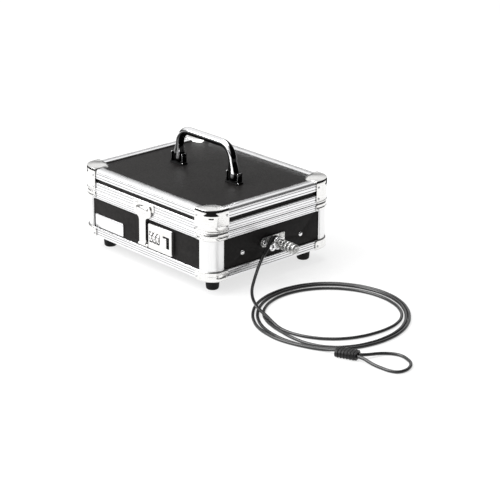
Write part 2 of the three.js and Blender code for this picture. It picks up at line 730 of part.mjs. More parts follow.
const lidPanel = () => prism(casePlan(WALL_INSET), Z_PANEL - LID_WALL_T, Z_PANEL);

// The lid's edge extrusion: a rounded angle over the panel and the side.
function lidEdge() {
  return caseFrame([
    [0.6, Z_LID_EDGE],
    [0, Z_LID_EDGE + 0.8],
    [0, Z_TOP - 3.5],
    [1, Z_TOP - 1],
    [3.5, Z_TOP],
    [LEAF_W - 0.6, Z_TOP],
    [LEAF_W, Z_TOP - SKIN],
    [SKIN, Z_TOP - SKIN],
    [SKIN, Z_LID_EDGE],
  ]);
}

// ---------- The lid hinge ----------

const KNUCKLE_PITCH = HINGE_L / HINGE_KNUCKLES;

// A leaf of the hinge with every second knuckle, starting from the one given. side is 1 above the pin.
function hingeLeaf(first, side, reach) {
  const face = CASE_D / 2 + GAP;
  const clear = HINGE_R + 0.8;
  const zs = [Z_SEAM + side * clear, Z_SEAM + side * reach];
  let leaf = block([-HINGE_L / 2, face, Math.min(...zs)], [HINGE_L / 2, face + 1.2, Math.max(...zs)]);
  for (let i = first; i < HINGE_KNUCKLES; i += 2) {
    const x0 = -HINGE_L / 2 + i * KNUCKLE_PITCH + GAP;
    const x1 = x0 + KNUCKLE_PITCH - 2 * GAP;
    const webs = [Z_SEAM, Z_SEAM + side * (clear + 0.5)];
    const web = block([x0, face, Math.min(...webs)], [x1, face + 1.2, Math.max(...webs)]);
    leaf = join(leaf, web, barX(HINGE_R, x0, x1, HINGE_Y, Z_SEAM, 24));
  }
  return cut(leaf, barX(HINGE_PIN_R + GAP, -HINGE_L, HINGE_L, HINGE_Y, Z_SEAM, 16));
}

const hingePin = () => barX(HINGE_PIN_R, -HINGE_L / 2, HINGE_L / 2, HINGE_Y, Z_SEAM, 16);

// ---------- The handle ----------

function handleBracket(side) {
  const { halfW, halfD, cornerR, t, cheekT, cheekR, play } = BRACKET;
  const x = (side * HANDLE_SPAN) / 2;
  const floor = Z_PANEL + GAP;
  const plate = prism(roundedRectangle(x - halfW, x + halfW, -halfD, halfD, cornerR), floor, floor + t, 2);
  const outline = new THREE.Shape();
  outline.moveTo(-halfD + 1, floor);
  outline.lineTo(halfD - 1, floor);
  outline.lineTo(cheekR, HANDLE_Z);
  outline.absarc(0, HANDLE_Z, cheekR, 0, Math.PI);
  const reach = LUG_W / 2 + play;
  const cheek = (x0) => slabX(outline, x0, x0 + cheekT);
  const pin = barX(HANDLE_PIN_R, x - reach - cheekT, x + reach + cheekT, 0, HANDLE_Z, 16);
  return join(plate, cheek(x - reach - cheekT), cheek(x + reach), pin);
}

// The bail: a round bar bent twice, with a flattened lug on each leg.
function handle() {
  const half = HANDLE_SPAN / 2;
  const top = HANDLE_TOP - HANDLE_BAR_R;
  const at = (x, z) => new THREE.Vector3(x, 0, z);
  const legTop = (side) => at(side * half, top - HANDLE_BEND_R);
  const barEnd = (side) => at(side * (half - HANDLE_BEND_R), top);
  const path = new THREE.CurvePath();
  path.add(new THREE.LineCurve3(at(-half, HANDLE_Z), legTop(-1)));
  path.add(new THREE.QuadraticBezierCurve3(legTop(-1), at(-half, top), barEnd(-1)));
  path.add(new THREE.LineCurve3(barEnd(-1), barEnd(1)));
  path.add(new THREE.QuadraticBezierCurve3(barEnd(1), at(half, top), legTop(1)));
  path.add(new THREE.LineCurve3(legTop(1), at(half, HANDLE_Z)));
  const section = new THREE.Shape().absarc(0, 0, HANDLE_BAR_R, 0, 2 * Math.PI);
  const bail = new THREE.ExtrudeGeometry(section, { steps: 32, extrudePath: path, curveSegments: 6 });
  const lug = (x) => barX(LUG_R, x - LUG_W / 2, x + LUG_W / 2, 0, HANDLE_Z, 24);
  const bore = barX(HANDLE_PIN_R + GAP, -CASE_W, CASE_W, 0, HANDLE_Z, 16);
  return cut(join(bail, lug(-half), lug(half)), bore);
}

// ---------- The cable lock and the cable ----------

const SIDE_FACE = WALL_OUT_X + GAP; // what is fixed to the right wall starts here

// The slotted plate outside the right wall: round at its near end, square at the other.
function anchorPlate() {
  const { y0, y1, z0, z1, t, cornerR } = ANCHOR;
  const [radius, middle] = [(z1 - z0) / 2, (z0 + z1) / 2];
  const outline = new THREE.Shape();
  outline.moveTo(y1, z0 + cornerR);
  outline.absarc(y1 - cornerR, z1 - cornerR, cornerR, 0, Math.PI / 2);
  outline.absarc(y0 + radius, middle, radius, Math.PI / 2, 1.5 * Math.PI);
  outline.absarc(y1 - cornerR, z0 + cornerR, cornerR, -Math.PI / 2, 0);
  return cut(slabX(outline, SIDE_FACE, SIDE_FACE + t), anchorSlot());
}

// A rivet from the bar inside the right wall to a domed head outside it.
function anchorRivet(y, inside) {
  const { z, shankR, headR, headH } = ANCHOR_RIVET;
  const profile = [
    [inside, 0],
    [inside, shankR],
    [SIDE_FACE, shankR],
    [SIDE_FACE, headR],
    [SIDE_FACE + 0.4 * headH, 0.9 * headR],
    [SIDE_FACE + 0.85 * headH, 0.5 * headR],
    [SIDE_FACE + headH, 0],
  ];
  return turnedX(profile, y, z, 16);
}

// The slotted bar inside the right wall, with its two rivets.
function anchorBracket() {
  const { halfW, z0, z1, t } = ANCHOR_BAR;
  const face = WALL_OUT_X - WALL_T - GAP;
  const bar = block([face - t, -halfW, z0], [face, halfW, z1]);
  const rivet = (y) => anchorRivet(y, face - t / 2);
  return join(cut(bar, anchorSlot()), rivet(-ANCHOR_RIVET.y), rivet(ANCHOR_RIVET.y));
}

// The turned body of the cable lock, with its T-shaped tongue through the anchor's slot.
function lockHead() {
  const profile = [
    [HEAD.start, 0],
    [HEAD.start, HEAD_R],
    [HEAD.neck, HEAD_R],
    [HEAD.neck, HEAD_NECK_R],
    [HEAD.body, HEAD_NECK_R],
    [HEAD.body, HEAD_R - 0.5],
    [HEAD.body + 0.5, HEAD_R],
    [HEAD.wheels, HEAD_R],
    [HEAD.wheels, HEAD_CORE_R],
    [HEAD.cap, HEAD_CORE_R],
    [HEAD.cap, HEAD_R],
    [HEAD.end - 2, HEAD_R],
    [HEAD.end, HEAD_R - 2],
    [HEAD.end, 0],
  ];
  const { tip, start, halfT, halfH } = TONGUE;
  const bar = (x0, x1, half) => block([x0, -halfT, CABLE_LOCK_Z - half], [x1, halfT, CABLE_LOCK_Z + half]);
  const stem = bar(start - 0.6, HEAD.start + 1, halfT);
  return join(turnedX(profile, 0, CABLE_LOCK_Z), stem, bar(tip, start, halfH));
}

// A ring round the lock's neck with a tapered boot leaving it at a tangent, where the cable starts.
function cableSwivel() {
  const { x0, x1, inner, outer } = SWIVEL;
  const profile = [
    [x0, inner],
    [x0, outer],
    [x1, outer],
    [x1, inner],
    [x0, inner],
  ];
  const ring = turnedX(profile, 0, CABLE_LOCK_Z);
  const [start, end] = [BOOT.start, BOOT.end].map((point) => new THREE.Vector3(...point));
  const along = end.clone().sub(start);
  const upright = new THREE.Vector3(0, 1, 0);
  const turn = new THREE.Quaternion().setFromUnitVectors(upright, along.clone().normalize());
  const middle = start.clone().lerp(end, 0.5);
  const boot = new THREE.CylinderGeometry(BOOT.endR, BOOT.startR, along.length(), 16)
    .applyQuaternion(turn)
    .translate(middle.x, middle.y, middle.z);
  return cut(join(ring, boot), barX(inner, x0 - 1, x1 + 1, 0, CABLE_LOCK_Z, 24));
}

// A number wheel of the cable lock, with grip ridges round it.
function lockWheel(i) {
  const { width, pitch, start, lowR, highR, ridges } = WHEEL;
  const x0 = HEAD.wheels + start + i * pitch;
  const rim = Array.from({ length: 2 * ridges }, (unused, k) => {
    const angle = (k * Math.PI) / ridges;
    const radius = k % 2 ? highR : lowR;
    return new THREE.Vector2(radius * Math.cos(angle), CABLE_LOCK_Z + radius * Math.sin(angle));
  });
  const bore = barX(HEAD_CORE_R + GAP, x0 - 1, x0 + width + 1, 0, CABLE_LOCK_Z, 16);
  return cut(slabX(new THREE.Shape(rim), x0, x0 + width), bore);
}

// The outer shape of the coil's turns, lying on the floor.
function cableCoil() {
  const { x, y, inner, outer, height } = COIL;
  const ring = turnedZ(
    [
      [inner, 0],
      [outer, 0],
      [outer, height],
      [inner, height],
      [inner, 0],
    ],
    40,
  );
  return ring.translate(x, y, 0);
}

// The crimp sleeve: an oval barrel with a bore for each run of the cable.
function crimpSleeve() {
  const { x, y, z, length, width, height, bores, turn } = SLEEVE;
  const half = (width - height) / 2;
  const outline = new THREE.Shape();
  outline.absarc(half, 0, height / 2, -Math.PI / 2, Math.PI / 2);
  outline.absarc(-half, 0, height / 2, Math.PI / 2, 1.5 * Math.PI);
  const barrel = slabX(outline, -length / 2, length / 2);
  const bore = (across) => barX(CABLE_R + GAP + 0.1, -length, length, across, 0, 16);
  return cut(barrel, bore(bores), bore(-bores)).rotateZ(turn).translate(x, y, z);
}

// ---------- The object ----------

add("floor_panel", floorPanel(), BLACK_LAMINATE);
add("bottom_edge", bottomEdge(), ALUMINIUM);
add("front_wall", frontWall(), BLACK_LAMINATE);
add("back_wall", longWall(1), BLACK_LAMINATE);
add("left_wall", sideWall(-1), BLACK_LAMINATE);
add("right_wall", rightWall(), BLACK_LAMINATE);
add("base_rim", baseRim(), ALUMINIUM);
addAtCorners("corner_post", cornerPost(), ALUMINIUM);
addAtCorners("bottom_guard", bottomGuard(), NICKEL);
addAtCorners("rim_guard", rimGuard(), NICKEL);
addAtCorners("foot", foot(), RUBBER);
add("label_plate", labelPlate(), ALUMINIUM);
add("coin_tray", coinTray(), BLACK_PLASTIC);

const frontLock = new THREE.Group();
cashBox.add(frontLock);
add("lock_body", lockBody(), NICKEL, frontLock);
dialMiddles().forEach((x, i) => add(`dial_${i + 1}`, dial(x), NICKEL, frontLock));
add("dial_spindle", dialSpindle(), STEEL, frontLock);
add("slide_button", slideButton(), NICKEL, frontLock);
add("button_spring", buttonSpring(), STEEL, frontLock);
add("hasp", hasp(), NICKEL, frontLock);
add("hasp_pin", haspPin(), STEEL, frontLock);

const lid = new THREE.Group();
cashBox.add(lid);
add("lid_rim", lidRim(), ALUMINIUM, lid);
add("lid_side", lidSide(), BLACK_LAMINATE, lid);
add("lid_edge", lidEdge(), ALUMINIUM, lid);
add("lid_panel", lidPanel(), BLACK_LAMINATE, lid);
addAtCorners("lid_guard", lidGuard(), NICKEL, lid);
add("catch_plate", catchPlate(), NICKEL, lid);
add("hinge_base_leaf", hingeLeaf(0, -1, 9.5), STEEL);
add("hinge_lid_leaf", hingeLeaf(1, 1, 11), STEEL, lid);
add("hinge_pin", hingePin(), STEEL);
add("handle_bracket_left", handleBracket(-1), CHROME, lid);
add("handle_bracket_right", handleBracket(1), CHROME, lid);
add("handle", handle(), CHROME, lid);

const securityCable = new THREE.Group();
cashBox.add(securityCable);
add("anchor_plate", anchorPlate(), NICKEL, securityCable);
add("anchor_bracket", anchorBracket(), STEEL, securityCable);
add("lock_head", lockHead(), NICKEL, securityCable);
add("cable_swivel", cableSwivel(), BLACK_PLASTIC, securityCable);
for (let i = 0; i < WHEEL.count; i++) {
  add(`lock_wheel_${i + 1}`, lockWheel(i), NICKEL, securityCable);
}
add("cable_drop", cableAlong(DROP_POINTS, 9), CABLE_COAT, securityCable);
add("cable_coil", cableCoil(), CABLE_COAT, securityCable);
add("crimp_sleeve", crimpSleeve(), BLACK_PLASTIC, securityCable);
add("cable_eye", cableAlong(EYE_POINTS, 8), CABLE_COAT, securityCable);

export default cashBox;
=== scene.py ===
"""The looks of the cash box: camera, studio, materials and the detailed pieces around the CAD frame.

Piece geometry is in millimetres in the row frame, and bmesh_of() turns it into Blender's metres.
"""

import math

import bmesh
import bpy
from mathutils import Euler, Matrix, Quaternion, Vector


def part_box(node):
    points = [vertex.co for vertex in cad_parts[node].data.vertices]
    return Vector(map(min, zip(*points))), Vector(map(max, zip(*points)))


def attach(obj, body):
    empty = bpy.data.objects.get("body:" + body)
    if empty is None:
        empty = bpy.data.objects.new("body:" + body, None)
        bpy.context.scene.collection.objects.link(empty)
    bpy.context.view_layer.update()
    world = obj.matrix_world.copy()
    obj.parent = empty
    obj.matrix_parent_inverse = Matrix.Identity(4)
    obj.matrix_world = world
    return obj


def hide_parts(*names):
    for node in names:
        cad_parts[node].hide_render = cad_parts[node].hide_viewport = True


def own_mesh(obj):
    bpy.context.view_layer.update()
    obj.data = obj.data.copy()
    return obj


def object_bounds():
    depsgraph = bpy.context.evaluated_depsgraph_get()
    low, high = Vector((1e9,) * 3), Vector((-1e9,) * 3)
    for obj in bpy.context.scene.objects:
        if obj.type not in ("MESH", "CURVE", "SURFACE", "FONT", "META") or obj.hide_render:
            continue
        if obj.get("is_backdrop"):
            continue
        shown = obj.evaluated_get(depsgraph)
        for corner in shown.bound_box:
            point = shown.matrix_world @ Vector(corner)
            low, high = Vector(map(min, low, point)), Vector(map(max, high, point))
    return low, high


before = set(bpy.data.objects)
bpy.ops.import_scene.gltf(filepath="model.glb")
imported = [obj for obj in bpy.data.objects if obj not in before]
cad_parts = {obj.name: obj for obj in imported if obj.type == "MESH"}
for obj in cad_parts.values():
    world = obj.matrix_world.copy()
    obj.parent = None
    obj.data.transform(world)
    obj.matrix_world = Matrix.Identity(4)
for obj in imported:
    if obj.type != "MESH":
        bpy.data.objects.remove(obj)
cad_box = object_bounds()


def box(node):
    """A CAD node's lowest and highest corner, in millimetres."""
    low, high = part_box(node)
    return low * 1000, high * 1000


# ---------- Dimensions, read from the frame where it has them ----------

CASE = box("bottom_edge")[1]  # half width, half depth, and the height where the walls start
CASE_R = 20  # plan radius of the case's corners
BOTTOM = box("bottom_edge")[0].z
RIM_LOW, RIM_HIGH = (corner.z for corner in box("base_rim"))
LID_RIM_LOW, LID_RIM_HIGH = (corner.z for corner in box("lid_rim"))
EDGE_LOW, EDGE_HIGH = (corner.z for corner in box("lid_edge"))
PANEL_TOP = box("lid_panel")[1].z
WALL_FACE_X = box("right_wall")[1].x
WALL_FACE_Y = -box("front_wall")[0].y
SKIN = 1.7  # wall thickness of the extrusions
LEAF = 12.8  # width of the lid edge's top leaf

GUARD_REACH = 29  # each leg of a corner guard
LID_GUARD_TOP = box("lid_guard_front_left")[1].z
CORNERS = {"front_left": (-1, -1), "front_right": (1, -1), "rear_left": (-1, 1), "rear_right": (1, 1)}

HANDLE_LOW, HANDLE_TOP = (corner.z for corner in box("handle"))
HANDLE_SPAN = 108  # between its legs
BAR_R = 5.4
BEND_R = 20
LEAN = 2.6  # each leg leans in by this much on its way up
PIVOT_Z = HANDLE_LOW + 7.5
BRACKET_FLOOR = box("handle_bracket_left")[0].z
CHEEK_INNER, CHEEK_OUTER, BRACKET_HALF = 9.8, 11.2, 12.4  # from the middle of the leg


def middle_x(node):
    """A CAD node's middle along X, in millimetres."""
    low, high = box(node)
    return (low.x + high.x) / 2


WHEEL_NUMBERS = (1, 2, 3)
BUTTON_PROUD = 1.3  # of the lock's face
LOCK_FACE = box("slide_button")[0].y + BUTTON_PROUD
DIAL_Y, DIAL_Z, DIAL_R = -101.3, 52, 8
DIAL_MIDDLES = [middle_x(f"dial_{i}") for i in WHEEL_NUMBERS]

SIDE_FACE = box("anchor_plate")[0].x
CABLE_LOCK_Z = 51
CABLE_WHEEL_R = 6.7
WHEEL_MIDDLES = [middle_x(f"lock_wheel_{i}") for i in WHEEL_NUMBERS]
SWIVEL_X0, SWIVEL_X1 = 130, 138.8
BOOT_X = 134.3  # where the cable leaves the swivel

CABLE_R = 2
COIL_CENTRE = Vector((262, -33))

# The cable's run from the swivel's boot down to the coil, as the frame has it, and on to the floor
DROP_POINTS = [
    (134.3, -22.6, 39.2), (135.2, -27, 34.4), (138.2, -34, 28.9), (144, -43.8, 23),
    (151.4, -54.6, 17.6), (159, -64.3, 13.6), (168, -72.8, 10.6), (179.2, -80.8, 8.6),
    (192, -87.8, 7.4), (204, -93.2, 6.9), (216, -97.3, 6.8), (227, -100.6, 5.9), (238, -103.4, 4.2),
    (249, -105.4, 2.6),
]

# The coil's radius at every eighth of a turn, starting at its front
COIL_RADII = [73.4, 72.6, 75, 87, 88, 85, 81.4, 79]
COIL_RADII += [78.6, 96, 92.5, 92.4, 97.3, 97.4, 89.5, 86.2]
COIL_RADII += [91.6, 101, 97.4, 96.4, 101.4, 101.6, 95, 92]
COIL_RADII += [96.4]

# From the coil through the crimp sleeve, round the eye and back into the sleeve, as the frame has it
EYE_POINTS = [
    (273, -129.8, 2.1), (285, -128.3, 2.1), (297, -125.4, 2.1), (308, -121.8, 2.1), (318, -117.8, 2.1),
    (328, -113.2, 2.4), (337, -109, 3.4), (341, -107.5, 4.3), (345, -105.9, 4.9), (349.5, -103.9, 5),
    (359.7, -99.7, 5), (369.8, -95.4, 5), (373.5, -93.7, 5), (376.6, -89.6, 4.7), (379, -82.4, 3.9),
    (381.6, -73.6, 3), (386.2, -64.9, 2.2), (393.1, -59.1, 2.1), (401.5, -56.4, 2.1),
    (412.5, -58.2, 2.1), (423.4, -63.7, 2.1), (430.2, -73.2, 2.1), (432.4, -83, 2.1),
    (429.9, -91.8, 2.1), (423.2, -96.1, 2.1), (412.2, -97.8, 2.1), (400.2, -98.4, 2.3),
    (390.5, -98.6, 3.4), (383.6, -98.8, 4.5), (376, -100.2, 5), (372.4, -101.7, 5), (366, -104.4, 5),
]


# ---------- Material helpers ----------

NOISE_LOW, NOISE_HIGH = 0.3, 0.7  # nearly all of a noise texture's values lie between these


def plain_material(name, color=(1, 1, 1), roughness=0.5, metallic=0.0, specular=0.5):
    material = bpy.data.materials.new(name)
    material.use_nodes = True
    shader = material.node_tree.nodes["Principled BSDF"]
    shader.inputs["Base Color"].default_value = (*color, 1)
    shader.inputs["Roughness"].default_value = roughness
    shader.inputs["Metallic"].default_value = metallic
    shader.inputs["Specular IOR Level"].default_value = specular
    return material


def shader_of(material):
    return material.node_tree.nodes["Principled BSDF"]


def stretched_noise(material, scale, detail=4.0, stretch=(1, 1, 1)):
    """Noise in the piece's own coordinates, with scale in cycles per metre before stretching."""
    tree = material.node_tree
    coordinates = tree.nodes.new("ShaderNodeTexCoord")
    mapping = tree.nodes.new("ShaderNodeMapping")
    mapping.inputs["Scale"].default_value = stretch
    noise = tree.nodes.new("ShaderNodeTexNoise")
    noise.inputs["Scale"].default_value = scale
    noise.inputs["Detail"].default_value = detail
    tree.links.new(coordinates.outputs["Object"], mapping.inputs["Vector"])
    tree.links.new(mapping.outputs["Vector"], noise.inputs["Vector"])
    return noise.outputs["Fac"]


def mapped(tree, source, start, end, low, high, smooth=False):
    """The source's values from start to end spread over low to high, in a straight line or smoothly."""
    node = tree.nodes.new("ShaderNodeMapRange")
    node.interpolation_type = "SMOOTHSTEP" if smooth else "LINEAR"
    for key, value in {"From Min": start, "From Max": end, "To Min": low, "To Max": high}.items():
        node.inputs[key].default_value = value
    tree.links.new(source, node.inputs["Value"])
    return node.outputs["Result"]


def facing(tree, direction, start, end):
    """From 0 to 1 as the surface turns towards a direction of the piece's own space."""
    dot = tree.nodes.new("ShaderNodeVectorMath")
    dot.operation = "DOT_PRODUCT"
    dot.inputs[1].default_value = direction
    tree.links.new(tree.nodes.new("ShaderNodeTexCoord").outputs["Normal"], dot.inputs[0])
    return mapped(tree, dot.outputs["Value"], start, end, 0, 1, smooth=True)


def combined(tree, operation, first, second):
    """Two values through a math node."""
    node = tree.nodes.new("ShaderNodeMath")
    node.operation = operation
    tree.links.new(first, node.inputs[0])
    tree.links.new(second, node.inputs[1])
    return node.outputs["Value"]


def set_roughness(material, source, low, high):
    tree = material.node_tree
    value = mapped(tree, source, NOISE_LOW, NOISE_HIGH, low, high)
    tree.links.new(value, shader_of(material).inputs["Roughness"])


def mix_color(material, factor, dark, light):
    """A base colour that goes from dark to light as the factor goes from 0 to 1."""
    tree = material.node_tree
    mix = tree.nodes.new("ShaderNodeMix")
    mix.data_type = "RGBA"
    mix.inputs["A"].default_value = (*dark, 1)
    mix.inputs["B"].default_value = (*light, 1)
    tree.links.new(factor, mix.inputs["Factor"])
    tree.links.new(mix.outputs["Result"], shader_of(material).inputs["Base Color"])


def set_color(material, source, dark, light):
    """A base colour that goes from dark to light with a texture."""
    mix_color(material, mapped(material.node_tree, source, NOISE_LOW, NOISE_HIGH, 0, 1), dark, light)


def set_bump(material, source, strength, depth_mm):
    tree = material.node_tree
    bump = tree.nodes.new("ShaderNodeBump")
    bump.inputs["Strength"].default_value = strength
    bump.inputs["Distance"].default_value = depth_mm / 1000
    tree.links.new(source, bump.inputs["Height"])
    tree.links.new(bump.outputs["Normal"], shader_of(material).inputs["Normal"])


# ---------- Camera and studio ----------


def new_object(name, data):
    """A new object, linked to the scene."""
    obj = bpy.data.objects.new(name, data)
    bpy.context.scene.collection.objects.link(obj)
    return obj


def make_camera():
    """At the photograph's viewing angle, aimed below the box's middle and then turned to the right."""
    azimuth, elevation, distance = math.radians(48.64), math.radians(20.88), 2.3988
    turn = math.radians(1.382)  # to the right, so that the coil is in the frame
    camera = bpy.data.cameras.new("camera")
    camera.lens = 131.4
    camera.sensor_width = 36
    camera.clip_start = 0.05
    obj = new_object("camera", camera)
    out = Vector((math.sin(azimuth), -math.cos(azimuth), 0)) * math.cos(elevation)
    target = Vector((0, 0, 0.0022))  # before the turn
    obj.location = target + (out + Vector((0, 0, math.sin(elevation)))) * distance
    aim = Euler((math.pi / 2 - elevation, 0, azimuth)).to_quaternion()
    obj.rotation_mode = "QUATERNION"
    obj.rotation_quaternion = aim @ Quaternion((0, 1, 0), -turn)
    bpy.context.scene.camera = obj


def make_light(name, location, size, power):
    """A square softbox that faces the object, in metres and watts."""
    light = bpy.data.lights.new(name, "AREA")
    light.shape = "SQUARE"
    light.size = size
    light.energy = power
    obj = new_object(name, light)
    obj.location = location
    obj.rotation_euler = (-Vector(location)).to_track_quat("-Z", "Y").to_euler()


def make_world():
    """A studio sky that is white above and to the left, and dark at the horizon and to the right."""
    world = bpy.data.worlds.new("studio")
    world.use_nodes = True
    bpy.context.scene.world = world
    tree = world.node_tree
    direction = tree.nodes.new("ShaderNodeTexCoord").outputs["Generated"]
    split = tree.nodes.new("ShaderNodeSeparateXYZ")
    tree.links.new(direction, split.inputs["Vector"])
    to_left = tree.nodes.new("ShaderNodeVectorMath")
    to_left.operation = "DOT_PRODUCT"
    to_left.inputs[1].default_value = (-0.96, -0.26, 0)
    tree.links.new(direction, to_left.inputs[0])
    height = mapped(tree, split.outputs["Z"], 0.08, 0.4, 0.03, 0.95, smooth=True)
    side = mapped(tree, to_left.outputs["Value"], -0.5, 0.3, 0.12, 1, smooth=True)
    tree.links.new(combined(tree, "MULTIPLY", height, side), tree.nodes["Background"].inputs["Strength"])
    tree.nodes["Background"].inputs["Color"].default_value = (1, 1, 1, 1)


def floor_paper():
    """White studio paper that glows a little, so that shadows on it stay pale."""
    material = plain_material("floor_paper", (0.3, 0.3, 0.3), 0.9, specular=0)
    shader_of(material).inputs["Emission Color"].default_value = (1, 1, 1, 1)
    shader_of(material).inputs["Emission Strength"].default_value = 0.72
    return material


def make_studio():
    bpy.context.scene.view_settings.view_transform = "Standard"
    bpy.ops.mesh.primitive_plane_add(size=14)
    floor = bpy.context.object
    floor.name = "floor"
    floor.data.materials.append(floor_paper())
    floor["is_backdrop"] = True
    make_world()
    make_light("key", (-1.0, -1.8, 1.7), 2.2, 75)
    make_light("top", (-0.2, -0.1, 2.2), 1.6, 24)


# ---------- Materials ----------


def laminate():
    """Black laminate with a fine pebbled grain."""
    material = plain_material("laminate", specular=0.12)
    grain = stretched_noise(material, 900, 3)
    set_bump(material, grain, 0.55, 0.25)
    clouds = stretched_noise(material, 260, 5)
    set_color(material, clouds, (0.0085, 0.0079, 0.0077), (0.0155, 0.0144, 0.0139))
    set_roughness(material, grain, 0.42, 0.6)
    return material


def aluminium():
    """Satin extrusion with fine lines drawn along it."""
    material = plain_material("aluminium", metallic=1.0)
    lines = stretched_noise(material, 40, 5, (1, 1, 60))
    set_bump(material, lines, 0.06, 0.1)
    set_roughness(material, lines, 0.24, 0.34)
    set_color(material, lines, (0.88, 0.88, 0.89), (0.94, 0.94, 0.95))
    return material


def groove_aluminium():
    """Painted shade inside the extrusions' grooves: the same metal, made dull and dark there."""
    material = plain_material("groove_aluminium")
    shade_mottle = stretched_noise(material, 90, 5, (1, 1, 6))
    set_roughness(material, shade_mottle, 0.5, 0.7)
    set_color(material, shade_mottle, (0.22, 0.22, 0.222), (0.4, 0.4, 0.402))
    return material


def post_aluminium():
    """The corner posts' satin extrusion, drawn along Z."""
    material = plain_material("post_aluminium", metallic=1.0)
    lines = stretched_noise(material, 60, 6, (40, 40, 1))
    set_bump(material, lines, 0.1, 0.1)
    set_roughness(material, lines, 0.28, 0.38)
    set_color(material, lines, (0.84, 0.84, 0.84), (0.92, 0.92, 0.92))
    return material


def nickel():
    """Bright nickel plate with faint polishing marks."""
    material = plain_material("nickel", metallic=1.0)
    marks = stretched_noise(material, 180, 6, (1, 1, 4))
    set_roughness(material, marks, 0.09, 0.2)
    set_color(material, marks, (0.80, 0.795, 0.78), (0.9, 0.895, 0.885))
    set_bump(material, marks, 0.06, 0.1)
    return material


def speckled_nickel():
    """Cast and knurled nickel-plated metal, which catches the light in small specks."""
    material = plain_material("speckled_nickel", metallic=1.0)
    specks = stretched_noise(material, 450, 3)
    set_color(material, specks, (0.22, 0.22, 0.215), (0.98, 0.98, 0.96))
    set_roughness(material, specks, 0.5, 0.2)
    set_bump(material, specks, 0.7, 0.4)
    return material


def chrome():
    """Polished chrome with faint wiping marks."""
    material = plain_material("chrome", metallic=1.0)
    marks = stretched_noise(material, 120, 5)
    set_roughness(material, marks, 0.03, 0.09)
    set_color(material, marks, (0.86, 0.86, 0.87), (0.93, 0.93, 0.94))
    return material


def bail_chrome():
    """Chrome with painted reflections: its colour is painted dark where it faces the black lid and the unlit
    side, with a painted highlight stripe and a painted dark line along the top.
    """
    material = plain_material("bail_chrome", metallic=1.0)
    tree = material.node_tree
    above = facing(tree, (0, 0, 1), 0.08, 0.3)
    to_light = facing(tree, (-0.62, -0.62, 0.48), 0.2, 0.44)
    painted_streak = facing(tree, (0.3, -0.95, 0.05), 0.96, 0.99)
    # Painted reflection: the bright parts, a highlight stripe and a dark line along the top are painted into
    # the base colour.
    painted_lit = combined(tree, "MAXIMUM", combined(tree, "MULTIPLY", above, to_light), painted_streak)
    painted_top_line = facing(tree, (0, 0.6, 0.8), 0.86, 0.92)
    painted_lit = combined(tree, "SUBTRACT", painted_lit, painted_top_line)
    mix_color(material, painted_lit, (0.015, 0.015, 0.015), (0.93, 0.93, 0.94))
    set_roughness(material, stretched_noise(material, 120, 5), 0.03, 0.09)
    return material


def steel():
    """Zinc-plated steel."""
    material = plain_material("steel", metallic=1.0)
    spangle = stretched_noise(material, 420, 4)
    set_roughness(material, spangle, 0.26, 0.45)
    set_color(material, spangle, (0.52, 0.52, 0.53), (0.68, 0.68, 0.69))
    return material


def rubber():
    """Dull black moulded rubber."""
    material = plain_material("rubber", specular=0.2)
    grain = stretched_noise(material, 1400, 3)
    set_bump(material, grain, 0.3, 0.1)
    set_roughness(material, grain, 0.55, 0.8)
    set_color(material, grain, (0.004, 0.004, 0.004), (0.008, 0.008, 0.008))
    return material


def black_plastic():
    """Moulded black plastic with a fine grain."""
    material = plain_material("black_plastic", specular=0.3)
    grain = stretched_noise(material, 1100, 4)
    set_bump(material, grain, 0.2, 0.08)
    set_roughness(material, grain, 0.32, 0.5)
    set_color(material, grain, (0.005, 0.005, 0.005), (0.010, 0.010, 0.0105))
    return material


def cable_coat():
    """Smoke-tinted vinyl over a twisted steel wire, which shows as slanting bands."""
    material = plain_material("cable_coat", roughness=0.3)
    tree = material.node_tree
    coordinates = tree.nodes.new("ShaderNodeTexCoord")
    wave = tree.nodes.new("ShaderNodeTexWave")
    wave.wave_type = "BANDS"
    wave.bands_direction = "DIAGONAL"
    wave.inputs["Scale"].default_value = 260
    tree.links.new(coordinates.outputs["Object"], wave.inputs["Vector"])
    set_color(material, wave.outputs["Fac"], (0.005, 0.005, 0.0055), (0.02, 0.02, 0.021))
    shader_of(material).inputs["Coat Weight"].default_value = 0.35
    shader_of(material).inputs["Coat Roughness"].default_value = 0.12
    return material


def ink():
    """Dull black, for printed digits, and painted shade for gaps that no light reaches."""
    material = plain_material("ink", (0.004, 0.004, 0.004), specular=0.1)
    set_roughness(material, stretched_noise(material, 900, 2), 0.5, 0.7)
    return material


MAKERS = [laminate, aluminium, groove_aluminium, post_aluminium, nickel, speckled_nickel, chrome]
MAKERS += [bail_chrome, steel, rubber, black_plastic, cable_coat, ink]
MATERIALS = {make.__name__: make() for make in MAKERS}


# ---------- Mesh helpers ----------


def place(name, bm, body, material, *nodes, slot=None, sharp_angle=38):
    """A piece that rides on a body and stands for the CAD nodes, if any. It is smooth up to sharp_angle."""
    bmesh.ops.recalc_face_normals(bm, faces=bm.faces)
    mesh = bpy.data.meshes.new(name)
    bm.to_mesh(mesh)
    bm.free()
    mesh.shade_smooth()
    mesh.set_sharp_from_angle(angle=math.radians(sharp_angle))
    mesh.materials.clear()
    mesh.materials.append(MATERIALS[material])
    obj = new_object(name, mesh)
    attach(obj, body)
    slot or material
    if nodes:
        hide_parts(*nodes)
    return obj


def bmesh_of(vertices, faces):
    """A bmesh from vertices in millimetres."""
    bm = bmesh.new()
    made = [bm.verts.new(Vector(vertex) / 1000) for vertex in vertices]
    for face in faces:
        bm.faces.new([made[i] for i in face])
    return bm


def grid_faces(rows, columns, close_rows=False, close_columns=False):
    """Quads over a grid of vertices stored row by row."""
    faces = []
    for row in range(rows if close_rows else rows - 1):
        here, beyond = row * columns, (row + 1) % rows * columns
        for c in range(columns if close_columns else columns - 1):
            after = (c + 1) % columns
            faces.append((here + c, beyond + c, beyond + after, here + after))
    return faces


